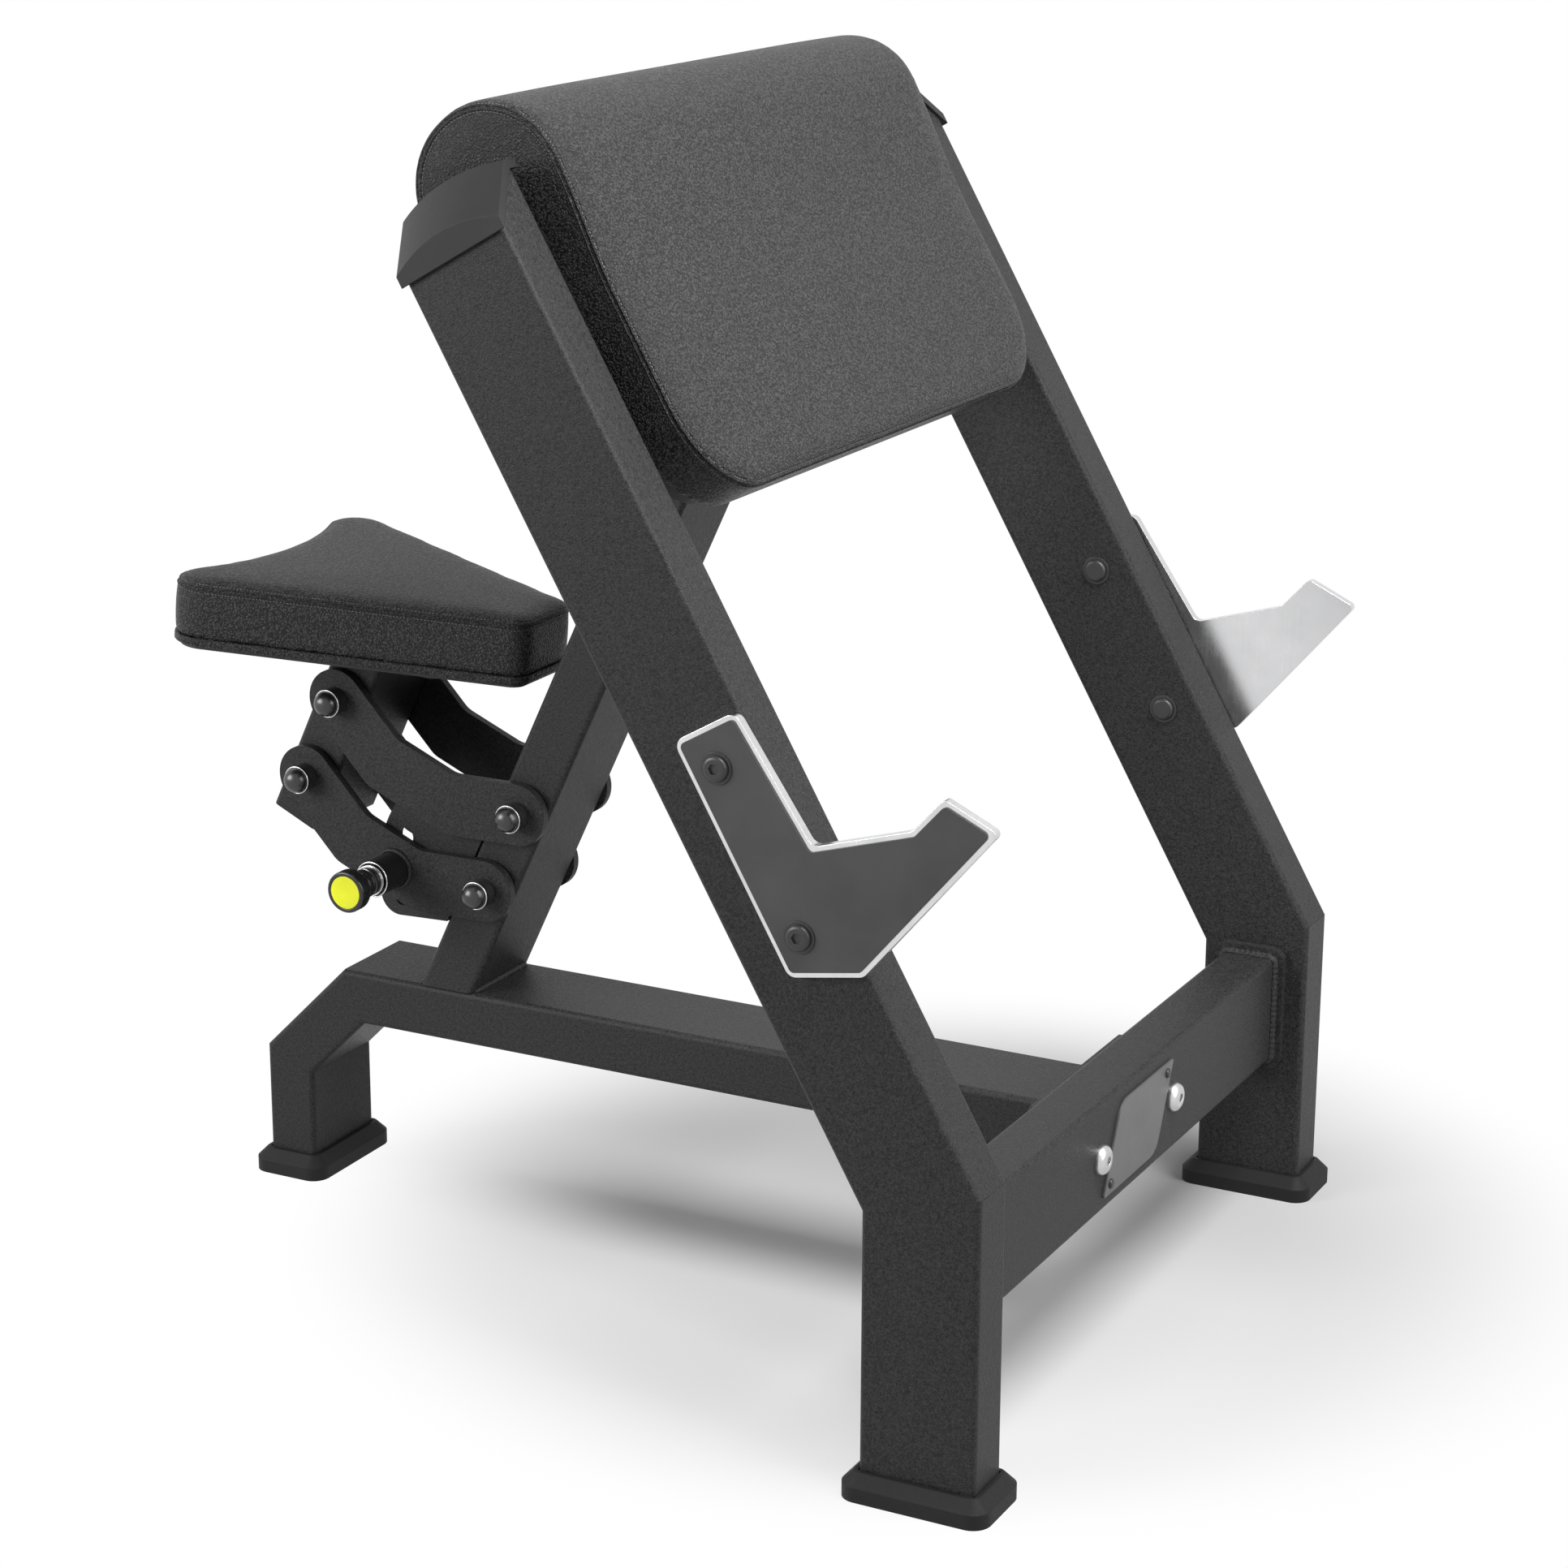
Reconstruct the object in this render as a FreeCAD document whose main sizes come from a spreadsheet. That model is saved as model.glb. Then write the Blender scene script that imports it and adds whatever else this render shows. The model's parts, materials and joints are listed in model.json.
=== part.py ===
# Preacher curl bench: two bent side frames, a low spine with a rear leg, a leaning seat post,
# a seat on a parallel linkage with a locking pin, an arm pad and two bar hooks.
# X points the way the user faces, Y to the user's left, Z up; lengths in mm, angles in degrees.
import FreeCAD
import Part
import Sketcher
import math
import operator
import os

DIMENSIONS = {
    # Side frames and feet
    "overall_length": "930.3",
    "rear_inset": "13.05",
    "frame_width": "772",
    "tube_deep": "100",
    "tube_thin": "50",
    "tube_wall": "3",
    "tube_corner": "5",
    "bend_height": "266.3",
    "lean": "29.88",
    "upright_length": "854",
    "upright_ridge": "8",
    "upright_slope": "44",
    "foot_margin": "13.5",
    "foot_height": "22",
    "foot_floor": "8",
    "foot_chamfer": "9.5",
    "foot_corner": "16",
    "cap_overhang": "3",
    "cap_edge": "7",
    "cap_crown": "9",
    "cap_plug": "18",
    "slip_fit": "0.3",
    # Crossbars, spine and rear leg
    "crossbar_height": "185.3",
    "crossbar_setback": "28.2",
    "flange_thickness": "8",
    "flange_margin": "9",
    "flange_corner": "12",
    "spine_height": "188.5",
    "knee_height": "125",
    "knee_angle": "45",
    "end_plate_thickness": "8",
    "end_plate_width": "212",
    "end_plate_height": "84",
    "crossbar_bolt_spacing": "161.5",
    "crossbar_bolt": "12",
    "crossbar_head": "26",
    "crossbar_head_height": "8",
    "crossbar_nut_height": "10",
    "badge_width": "116",
    "badge_height": "75",
    "badge_slant": "35",
    "badge_thickness": "2",
    "badge_corner": "22",
    "badge_screw": "4",
    "badge_screw_head": "8.5",
    "badge_screw_head_height": "2.5",
    "badge_screw_inset": "9",
    # Seat post, linkage and locking pin
    "upper_crossbar_rise": "112.4",
    "post_lean": "25.13",
    "pivot_height": "115.7",
    "pivot_pitch": "84.7",
    "arm_length": "205.7",
    "arm_rise": "23.42",
    "arm_width": "57",
    "arm_sag": "28.6",
    "arm_bend": "65.2",
    "arm_bend_radius": "24",
    "arm_thickness": "8",
    "arm_gap": "2",
    "pivot_pin": "16",
    "pivot_clearance": "0.05",
    "pivot_sleeve": "26",
    "bush_diameter": "20",
    "weld_fit": "0.02",
    "thrust_washer": "34",
    "thrust_washer_thickness": "1.7",
    "collar_diameter": "25",
    "collar_length": "11",
    "cap_nut_diameter": "26",
    "cap_nut_rim": "3",
    "cap_nut_dome": "11",
    "cap_nut_depth": "5",
    "sector_radius": "118",
    "sector_thickness": "8",
    "sector_top": "60",
    "sector_foot": "54",
    "lock_radius": "95.3",
    "lock_angle": "19.09",
    "lock_step": "18",
    "lock_hole": "16.4",
    "plunger_diameter": "14",
    "plunger_travel": "9.5",
    "plunger_tip_gap": "1",
    "plunger_shoulder": "22",
    "plunger_shoulder_length": "3",
    "housing_diameter": "33.5",
    "housing_length": "36",
    "housing_floor": "4",
    "housing_lid": "2",
    "housing_lid_depth": "8",
    "spring_room": "7",
    "spring_wire": "1.2",
    "spring_turns": "3",
    "knob_neck": "27",
    "knob_neck_length": "26",
    "knob_neck_gap": "2",
    "knob_ring": "28.4",
    "knob_ring_length": "3",
    "knob_head": "38",
    "knob_head_length": "12",
    "knob_disc": "30",
    "knob_disc_depth": "2",
    # Seat
    "carriage_tail": "45",
    "carriage_top": "127.4",
    "plug_rim": "4",
    "plug_depth": "14",
    "seat_pitch": "5.57",
    "seat_plate_length": "170",
    "seat_plate_width": "110",
    "seat_plate_thickness": "6",
    "seat_board_thickness": "8",
    "seat_board_inset": "5",
    "seat_thickness": "52",
    "seat_crown": "5",
    "seat_front_reach": "167.7",
    "seat_rear_reach": "144",
    "seat_front_width": "85",
    "seat_rear_width": "320",
    "seat_hollow": "23",
    "seat_front_corner": "20",
    "seat_rear_corner": "28",
    "seat_screw": "6",
    "seat_screw_head": "12",
    "seat_screw_head_height": "4",
    "seat_screw_bite": "6",
    "seat_screw_inset": "14",
    # Arm pad
    "pad_side_gap": "20",
    "pad_rise": "-2",
    "pad_length": "293",
    "pad_roll_radius": "70.5",
    "pad_front": "31",
    "pad_face": "23.5",
    "pad_drawn_in": "3",
    "pad_corner": "80",
    "pad_board_thickness": "15",
    "pad_board_inset": "12",
    "pad_bolt": "8",
    "pad_bolt_head": "16",
    "pad_bolt_head_height": "5",
    "pad_bolt_bite": "12",
    "pad_bolt_spacing": "300",
    "pad_bolt_rows": "50",
    # Bar hooks
    "hook_thickness": "8",
    "hook_back": "59.4",
    "hook_top": "412.3",
    "hook_front_top": "0.8",
    "hook_notch": "9.8",
    "hook_notch_height": "296.6",
    "hook_arm_reach": "93",
    "hook_arm_height": "276.4",
    "hook_tip_back": "129.3",
    "hook_tip_top": "288.3",
    "hook_tip_reach": "157.5",
    "hook_tip_bottom": "248.1",
    "hook_foot_front": "191.7",
    "hook_foot_back": "213.9",
    "hook_corner": "9",
    "hook_inlay_inset": "4",
    "hook_inlay_thickness": "1.5",
    "hook_bolt": "12",
    "hook_bolt_fit": "0.3",
    "hook_bolt_inset": "34.3",
    "hook_bolt_upper": "380.1",
    "hook_bolt_pitch": "141.4",
    "hook_bolt_head": "21",
    "hook_bolt_head_height": "4",
    "hook_bolt_socket": "8",
    "hook_washer": "26",
    "hook_washer_thickness": "1",
    "hook_nut_depth": "2.5",
}

X_AXIS = FreeCAD.Vector(1, 0, 0)
Y_AXIS = FreeCAD.Vector(0, 1, 0)
Z_AXIS = FreeCAD.Vector(0, 0, 1)
SIDES = (("left", 1), ("right", -1))
OPERATIONS = {"+": operator.add, "-": operator.sub, "*": operator.mul, "/": operator.truediv}
NEAR = 1e-6
# An arc made of a rounded corner keeps this share of its two runs, so no run shrinks to nothing.
ARC_SHARE = 0.998


class Size:
    """A length or an angle: its value and the expression over the sheet that gives it."""

    def __init__(self, text, value):
        self.text = text
        self.value = value

    def __float__(self):
        return self.value

    def __add__(self, other):
        return combined(self, "+", other)

    def __radd__(self, other):
        return combined(other, "+", self)

    def __sub__(self, other):
        return combined(self, "-", other)

    def __rsub__(self, other):
        return combined(other, "-", self)

    def __mul__(self, other):
        return combined(self, "*", other)

    def __rmul__(self, other):
        return combined(other, "*", self)

    def __truediv__(self, other):
        return combined(self, "/", other)

    def __neg__(self):
        return combined(0, "-", self)


def sized(number):
    """The number as a Size."""
    if isinstance(number, Size):
        return number
    return Size("(%r)" % float(number), float(number))


def combined(left, sign, right):
    """Two sizes joined by one arithmetic sign."""
    left = sized(left)
    right = sized(right)
    value = OPERATIONS[sign](left.value, right.value)
    return Size("(%s %s %s)" % (left.text, sign, right.text), value)


def sine(angle):
    return Size("sin(%s)" % angle.text, math.sin(math.radians(angle.value)))


def cosine(angle):
    return Size("cos(%s)" % angle.text, math.cos(math.radians(angle.value)))


def tangent(angle):
    return Size("tan(%s)" % angle.text, math.tan(math.radians(angle.value)))


def make_sheet(doc):
    """The spreadsheet of driving dimensions and a dictionary of them as sizes."""
    sheet = doc.addObject("Spreadsheet::Sheet", "dims")
    sizes = {}
    for row, (alias, text) in enumerate(DIMENSIONS.items(), 1):
        sheet.set("A%d" % row, alias)
        sheet.set("B%d" % row, text)
        sheet.setAlias("B%d" % row, alias)
    doc.recompute()
    for alias in DIMENSIONS:
        sizes[alias] = Size("dims." + alias, float(sheet.get(alias)))
    return sizes


doc = FreeCAD.newDocument("preacher_curl_bench")
S = make_sheet(doc)
nodes = []


# Sketches and features


def new_body(label, node=True):
    """An empty body; a body that is no node is the master of a group of like pieces."""
    body = doc.addObject("PartDesign::Body", label)
    body.Label = label
    if node:
        nodes.append(body)
    return body


def place(item, spot, turn=0):
    """Puts a piece at a spot, turned about Y."""
    x, y, z = (sized(value) for value in spot)
    angle = sized(turn)
    base = FreeCAD.Vector(float(x), float(y), float(z))
    item.Placement = FreeCAD.Placement(base, FreeCAD.Rotation(Y_AXIS, float(angle)))
    for path, size in (("Base.x", x), ("Base.y", y), ("Base.z", z)):
        item.setExpression("Placement." + path, size.text)
    if abs(angle.value) > NEAR:
        item.setExpression("Placement.Rotation.Angle", angle.text)


def new_sketch(body, plane, lift=0):
    """A sketch on one of the body's own planes, lifted along the plane's normal."""
    support = next(item for item in body.Origin.OriginFeatures if item.Role == plane)
    sketch = body.newObject("Sketcher::SketchObject", body.Name + "_sketch")
    sketch.AttachmentSupport = [(support, "")]
    sketch.MapMode = "FlatFace"
    sketch.setExpression("AttachmentOffset.Base.z", sized(lift).text)
    return sketch


def pin_point(sketch, geometry, point, x, y):
    """Holds one point of a sketch at bound distances from the sketch's origin."""
    for kind, size in (("DistanceX", sized(x)), ("DistanceY", sized(y))):
        index = sketch.addConstraint(Sketcher.Constraint(kind, -1, 1, geometry, point, size.value))
        sketch.setExpression("Constraints[%d]" % index, size.text)


def polygon(body, plane, points, lift=0):
    """A closed polygon with every corner bound to the sheet."""
    sketch = new_sketch(body, plane, lift)
    spots = [FreeCAD.Vector(float(x), float(y), 0) for x, y in points]
    count = len(spots)
    for index in range(count):
        sketch.addGeometry(Part.LineSegment(spots[index], spots[(index + 1) % count]), False)
    for index in range(count):
        joint = Sketcher.Constraint("Coincident", index, 2, (index + 1) % count, 1)
        sketch.addConstraint(joint)
    for index, (x, y) in enumerate(points):
        pin_point(sketch, index, 1, x, y)
    return sketch


def rectangle(body, plane, width, height, center=(0, 0), lift=0):
    """A rectangle about a center point."""
    x, y = center
    corners = [(x - width / 2, y - height / 2), (x + width / 2, y - height / 2),
               (x + width / 2, y + height / 2), (x - width / 2, y + height / 2)]
    return polygon(body, plane, corners, lift)


def circles(body, plane, centers, diameter, lift=0):
    """Circles of one bound diameter about bound centers."""
    sketch = new_sketch(body, plane, lift)
    for index, (x, y) in enumerate(centers):
        center = FreeCAD.Vector(float(x), float(y), 0)
        sketch.addGeometry(Part.Circle(center, Z_AXIS, float(diameter) / 2), False)
        pin_point(sketch, index, 3, x, y)
        bound = sketch.addConstraint(Sketcher.Constraint("Diameter", index, float(diameter)))
        sketch.setExpression("Constraints[%d]" % bound, sized(diameter).text)
    return sketch


def rounded(corners):
    """Lines and arcs of a closed outline through corners (x, y, radius), each corner rounded."""
    count = len(corners)
    spots = [FreeCAD.Vector(float(x), float(y), 0) for x, y, radius in corners]
    curves = []
    entries = []
    exits = []
    for index, (x, y, radius) in enumerate(corners):
        here = spots[index]
        back = (spots[index - 1] - here).normalize()
        onward = (spots[(index + 1) % count] - here).normalize()
        half = back.getAngle(onward) / 2
        run = float(radius) / math.tan(half)
        entries.append(here + back * run)
        exits.append(here + onward * run)
        if float(radius) > NEAR:
            inward = (back + onward).normalize()
            middle = here + inward * (float(radius) / math.sin(half) - float(radius))
            curves.append(Part.Arc(entries[-1], middle, exits[-1]))
    for index in range(count):
        goal = entries[(index + 1) % count]
        if (goal - exits[index]).Length > NEAR:
            curves.append(Part.LineSegment(exits[index], goal))
    return curves


def outline(body, plane, corners, lift=0):
    """A closed outline with rounded corners."""
    sketch = new_sketch(body, plane, lift)
    sketch.addGeometry(rounded(corners), False)
    return sketch


def crown(start, end, base, rise):
    """The corner (middle, apex, radius) whose arc bows from a straight base by a rise."""
    half = abs(float(end) - float(start)) / 2
    radius = (half ** 2 + float(rise) ** 2) / (2 * float(rise))
    apex = half * math.tan(math.asin(half / radius))
    return (float(start) + float(end)) / 2, float(base) + apex, radius * ARC_SHARE


def feature(body, kind, sketch, length=None, symmetric=True):
    """A pad or pocket of a bound length, or a pocket through everything."""
    item = body.newObject("PartDesign::" + kind, body.Name + "_" + kind.lower())
    item.Profile = sketch
    if symmetric:
        item.SideType = "Symmetric"
    if length is None:
        item.Type = "ThroughAll"
    else:
        item.setExpression("Length", sized(length).text)
    doc.recompute()
    return item


def pad(body, sketch, length, symmetric=True):
    return feature(body, "Pad", sketch, length, symmetric)


def pocket(body, sketch, length=None, symmetric=True):
    """Cuts a sketch out of the body and stops where it cut nothing."""
    before = body.Shape.Volume
    item = feature(body, "Pocket", sketch, length, symmetric)
    if body.Shape.Volume > before - NEAR:
        raise RuntimeError("a pocket of %s cuts nothing" % body.Label)
    return item


def holes(body, plane, centers, diameter):
    """Round holes right through the body, square to the plane."""
    return pocket(body, circles(body, plane, centers, diameter))


def edges_of(body, accepts):
    """Names of the edges of the body's tip that a test accepts."""
    shape = body.Tip.Shape
    return ["Edge%d" % index for index, edge in enumerate(shape.Edges, 1) if accepts(edge)]


def along(axis, where=None):
    """A test for straight edges along an axis, at the places that a second test accepts."""
    def accepts(edge):
        if not isinstance(edge.Curve, Part.Line):
            return False
        straight = abs(edge.tangentAt(edge.FirstParameter).dot(axis)) > 1 - NEAR
        return straight and (where is None or where(edge.CenterOfMass))
    return accepts


def at_height(level):
    """A test for edges that lie wholly at one height."""
    def accepts(edge):
        box = edge.BoundBox
        return abs(box.ZMin - float(level)) < 1e-4 and abs(box.ZMax - float(level)) < 1e-4
    return accepts


def dress(body, kind, accepts, size):
    """A fillet or chamfer of a bound size on the accepted edges."""
    names = edges_of(body, accepts)
    base = body.Tip
    item = body.newObject("PartDesign::" + kind, body.Name + "_" + kind.lower())
    item.Base = (base, names)
    item.setExpression("Radius" if kind == "Fillet" else "Size", sized(size).text)
    doc.recompute()
    return item


def turned(label, profile, node=False):
    """A body of revolution about its own Z from a closed profile of (radius, height) corners."""
    body = new_body(label, node)
    sketch = polygon(body, "XZ_Plane", profile)
    item = body.newObject("PartDesign::Revolution", label + "_turn")
    item.Profile = sketch
    item.ReferenceAxis = (sketch, ["V_Axis"])
    item.Angle = 360
    doc.recompute()
    return body


def group(label, master, spots):
    """A node of several like solids: the master's shape at each spot."""
    doc.recompute()
    copies = []
    for spot in spots:
        copy = master.Shape.copy()
        copy.Placement = spot
        copies.append(copy)
    item = doc.addObject("Part::Feature", label)
    item.Label = label
    item.Shape = Part.makeCompound(copies)
    nodes.append(item)
    return item


def spot_at(x, y, z, axis, angle):
    """A placement turned about one axis."""
    base = FreeCAD.Vector(float(x), float(y), float(z))
    return FreeCAD.Placement(base, FreeCAD.Rotation(axis, float(angle)))


def toward_y(x, y, z, side):
    """A placement that points a piece's own Z to +Y or -Y."""
    return spot_at(x, y, z, X_AXIS, -90 * side)


def plate(label, corners, thickness, frame, plane="XZ_Plane"):
    """A flat plate with rounded corners, its thickness centered on its frame."""
    body = new_body(label)
    pad(body, outline(body, plane, corners), thickness)
    place(body, *frame)
    return body


def tube(label, depth, width, bottom, top, frame):
    """An open rectangular tube along its own Z; bottom and top give the end heights at its rear and front."""
    body = new_body(label)
    half = depth / 2
    corners = [(-half, bottom[0]), (half, bottom[1]), (half, top[1]), (-half, top[0])]
    pad(body, polygon(body, "XZ_Plane", corners), width)
    dress(body, "Fillet", along(Z_AXIS), S["tube_corner"])
    bore = half - S["tube_wall"]
    low = bottom[0] - depth
    high = top[0] + depth
    core = polygon(body, "XZ_Plane", [(-bore, low), (bore, low), (bore, high), (-bore, high)])
    pocket(body, core, width - 2 * S["tube_wall"])
    place(body, *frame)
    return body


def cross_tube(label, length, frame):
    """An open rectangular tube along Y, thin from front to back."""
    body = new_body(label)
    pad(body, rectangle(body, "XZ_Plane", S["tube_thin"], S["tube_deep"]), length)
    dress(body, "Fillet", along(Y_AXIS), S["tube_corner"])
    wall = 2 * S["tube_wall"]
    pocket(body, rectangle(body, "XZ_Plane", S["tube_thin"] - wall, S["tube_deep"] - wall))
    place(body, *frame)
    return body


def ring_profile(outer, inner, length, start=0):
    """The profile of a plain ring between two diameters."""
    return [(inner / 2, start), (outer / 2, start), (outer / 2, start + length), (inner / 2, start + length)]


def button_bolt(label, head, head_height, shank, length):
    """A button-head bolt: the head stands on height 0 and the shank hangs below it."""
    profile = [(0, -length), (shank / 2, -length), (shank / 2, 0), (head / 2, 0), (head / 2, head_height),
               (0, head_height)]
    body = turned(label, profile)
    dress(body, "Fillet", at_height(head_height), head_height * 0.8)
    return body


def hex_socket(body, across, level, depth):
    """A hexagonal key socket sunk from a level."""
    corner = across / 2 / cosine(sized(30))
    points = []
    for index in range(6):
        turn = sized(60 * index)
        points.append((corner * cosine(turn), corner * sine(turn)))
    pocket(body, polygon(body, "XY_Plane", points, level), depth, symmetric=False)


# Places that several pieces share

front_face = S["overall_length"] / 2 - S["foot_margin"]
rear_face = S["rear_inset"] + S["foot_margin"] - S["overall_length"] / 2
upright_out = S["frame_width"] / 2
upright_in = upright_out - S["tube_thin"]
upright_mid = upright_out - S["tube_thin"] / 2
bend_drop = S["tube_deep"] * tangent(S["lean"] / 2)
upright_drop = (S["tube_thin"] - S["upright_ridge"]) * tangent(S["upright_slope"])
spine_top = S["spine_height"] + S["tube_thin"] / 2
crossbar_front = front_face - S["crossbar_setback"]
crossbar_rear = crossbar_front - S["tube_thin"]
crossbar_mid = crossbar_front - S["tube_thin"] / 2
pad_back = S["pad_roll_radius"] - S["pad_front"]
board_front = pad_back - S["pad_board_thickness"]

arm_turn = S["arm_rise"] - 180
arm_inner = S["tube_deep"] / 2 + S["arm_gap"]
arm_outer = arm_inner + S["arm_thickness"]
arm_mid = arm_inner + S["arm_thickness"] / 2


def upright_frame(y):
    """The frame of a side frame's slant: own X square to its front, own Z up along it."""
    return (front_face, y, S["bend_height"]), -S["lean"]


def on_upright(u, v):
    """World x and z of a point u up the slant and v in front of it."""
    x = front_face - u * sine(S["lean"]) + v * cosine(S["lean"])
    z = S["bend_height"] + u * cosine(S["lean"]) + v * sine(S["lean"])
    return x, z


# The arm pad is measured down from the uprights' tops, and the post meets the crossbar behind it.
pad_width = 2 * (upright_in - S["pad_side_gap"])
pad_roll_center = S["upright_length"] + S["pad_rise"]
pad_bottom = pad_roll_center - S["pad_length"]
crossbar_u = pad_bottom + S["upper_crossbar_rise"]
post_top_x, post_top_z = on_upright(crossbar_u, -pad_back - S["tube_thin"])
post_length = (post_top_z - spine_top) / cosine(S["post_lean"])
post_base_x = post_top_x - post_length * sine(S["post_lean"])
post_cross = S["post_lean"] + S["lean"]


def on_post(height):
    """World x and z of a point on the seat post's centerline."""
    x = post_base_x + height * sine(S["post_lean"])
    z = spine_top + height * cosine(S["post_lean"])
    return x, z


def behind(pivot):
    """World x and z of the rear pivot of the arm that turns about a front pivot."""
    x = pivot[0] - S["arm_length"] * cosine(S["arm_rise"])
    z = pivot[1] + S["arm_length"] * sine(S["arm_rise"])
    return x, z


post_frame = ((post_base_x, 0, spine_top), S["post_lean"])
lower_pivot = on_post(S["pivot_height"])
upper_pivot = on_post(S["pivot_height"] + S["pivot_pitch"])
rear_lower_pivot = behind(lower_pivot)
rear_upper_pivot = behind(upper_pivot)
lock_turn = S["arm_rise"] - S["lock_angle"]
lock_x = lower_pivot[0] - S["lock_radius"] * cosine(lock_turn)
lock_z = lower_pivot[1] + S["lock_radius"] * sine(lock_turn)
seat_x = rear_lower_pivot[0] + S["carriage_top"] * sine(S["post_lean"])
seat_z = rear_lower_pivot[1] + S["carriage_top"] * cosine(S["post_lean"])
seat_frame = ((seat_x, 0, seat_z), S["seat_pitch"])
hook_hole = S["hook_bolt"] + 2 * S["hook_bolt_fit"]
hook_bolt_lower = S["hook_bolt_upper"] - S["hook_bolt_pitch"]


# Side frames, feet and caps


def make_side_frame(name, side):
    """One bent side frame: a vertical leg and a leaning upright that meet at a mitre."""
    y = side * upright_mid
    deep = S["tube_deep"]
    tube(name + "_leg", deep, S["tube_thin"], (S["foot_floor"], S["foot_floor"]),
         (S["bend_height"] - bend_drop, S["bend_height"]), ((front_face - deep / 2, y, 0), 0))
    x, z = on_upright(sized(0), -deep / 2)
    upright = tube(name + "_upright", deep, S["tube_thin"], (bend_drop, sized(0)),
                   (S["upright_length"], S["upright_length"]), ((x, y, z), -S["lean"]))
    half = S["tube_thin"] / 2
    ridge = S["upright_ridge"] - half
    top = S["upright_length"]
    reach = half + half - ridge
    drop = (reach - ridge) * tangent(S["upright_slope"])
    slope = [(side * ridge, top), (side * reach, top - drop), (side * reach, top + half), (side * ridge, top + half)]
    pocket(upright, polygon(upright, "YZ_Plane", slope))
    bolt_x = deep / 2 - S["hook_bolt_inset"]
    holes(upright, "XZ_Plane", [(bolt_x, S["hook_bolt_upper"]), (bolt_x, hook_bolt_lower)], hook_hole)


def make_cap(name, side):
    """An end cap with a plug: one arched section swept over the upright's ridge and down its slope."""
    body = new_body(name + "_top_cap")
    top = S["upright_length"]
    half = S["tube_thin"] / 2
    over = S["cap_overhang"]
    ridge = S["upright_ridge"] - half
    steep = tangent(S["upright_slope"])
    beyond = half + S["tube_thin"]
    path = new_sketch(body, "YZ_Plane")
    spots = [(side * (-half - over), top), (side * ridge, top), (side * beyond, top - (beyond - ridge) * steep)]
    spots = [FreeCAD.Vector(float(y), float(z), 0) for y, z in spots]
    path.addGeometry([Part.LineSegment(spots[0], spots[1]), Part.LineSegment(spots[1], spots[2])], False)
    front = over
    rear = -S["tube_deep"] - over
    middle, apex, radius = crown(rear, front, top + S["cap_edge"], S["cap_crown"])
    corners = [(rear, top, 0), (front, top, 0), (front, top + S["cap_edge"], 0), (middle, apex, radius),
               (rear, top + S["cap_edge"], 0)]
    sweep = body.newObject("PartDesign::AdditivePipe", body.Name + "_sweep")
    sweep.Profile = outline(body, "XZ_Plane", corners, side * (half + over))
    sweep.Spine = path
    sweep.Transition = "Right corner"
    doc.recompute()
    edge = half + over
    low = top - 4 * S["tube_thin"]
    high = top + S["tube_thin"]
    far = edge + 3 * S["tube_thin"]
    pocket(body, polygon(body, "YZ_Plane", [(side * edge, low), (side * far, low), (side * far, high),
                                            (side * edge, high)]))
    gap = S["tube_wall"] + S["slip_fit"]
    inner = half - gap
    low = top - upright_drop - S["cap_plug"]
    plug = [(-side * inner, low), (side * inner, low), (side * inner, top - (inner - ridge) * steep),
            (side * ridge, top), (-side * inner, top)]
    pad(body, polygon(body, "YZ_Plane", plug, -S["tube_deep"] / 2), S["tube_deep"] - 2 * gap)
    place(body, *upright_frame(side * upright_mid))


def make_foot(label, x, y, depth, width):
    """A rubber foot: a chamfered block with a socket for the tube."""
    body = new_body(label)
    margin = 2 * S["foot_margin"]
    pad(body, rectangle(body, "XY_Plane", depth + margin, width + margin), S["foot_height"], symmetric=False)
    dress(body, "Fillet", along(Z_AXIS), S["foot_corner"])
    dress(body, "Chamfer", at_height(S["foot_height"]), S["foot_chamfer"])
    gap = 2 * S["slip_fit"]
    socket = rectangle(body, "XY_Plane", depth + gap, width + gap, lift=S["foot_height"])
    pocket(body, socket, S["foot_height"] - S["foot_floor"], symmetric=False)
    place(body, (x, y, 0))


for side_name, side_sign in SIDES:
    make_side_frame(side_name, side_sign)
    make_cap(side_name, side_sign)
    make_foot(side_name + "_front_foot", front_face - S["tube_deep"] / 2, side_sign * upright_mid,
              S["tube_deep"], S["tube_thin"])
make_foot("rear_foot", rear_face + S["tube_thin"] / 2, 0, S["tube_thin"], S["tube_deep"])


# Front crossbar, its flanges and badge


def make_crossbar():
    """The front crossbar between two flange plates, drilled for the spine's bolts and the badge."""
    length = 2 * (upright_in - S["flange_thickness"])
    bar = cross_tube("front_crossbar", length, ((crossbar_mid, 0, S["crossbar_height"]), 0))
    spread = S["crossbar_bolt_spacing"] / 2
    holes(bar, "YZ_Plane", [(spread, 0), (-spread, 0)], crossbar_bore)
    holes(bar, "YZ_Plane", badge_screw_spots, S["badge_screw"] + 2 * S["weld_fit"])
    x = S["tube_thin"] / 2 + S["flange_margin"]
    z = S["tube_deep"] / 2 + S["flange_margin"]
    corner = S["flange_corner"]
    flange = new_body("flange_master", node=False)
    corners = [(-x, -z, corner), (x, -z, corner), (x, z, corner), (-x, z, corner)]
    pad(flange, outline(flange, "XZ_Plane", corners), S["flange_thickness"])
    y = upright_in - S["flange_thickness"] / 2
    spots = [spot_at(crossbar_mid, side * y, S["crossbar_height"], Y_AXIS, 0) for name, side in SIDES]
    group("crossbar_flanges", flange, spots)


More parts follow.
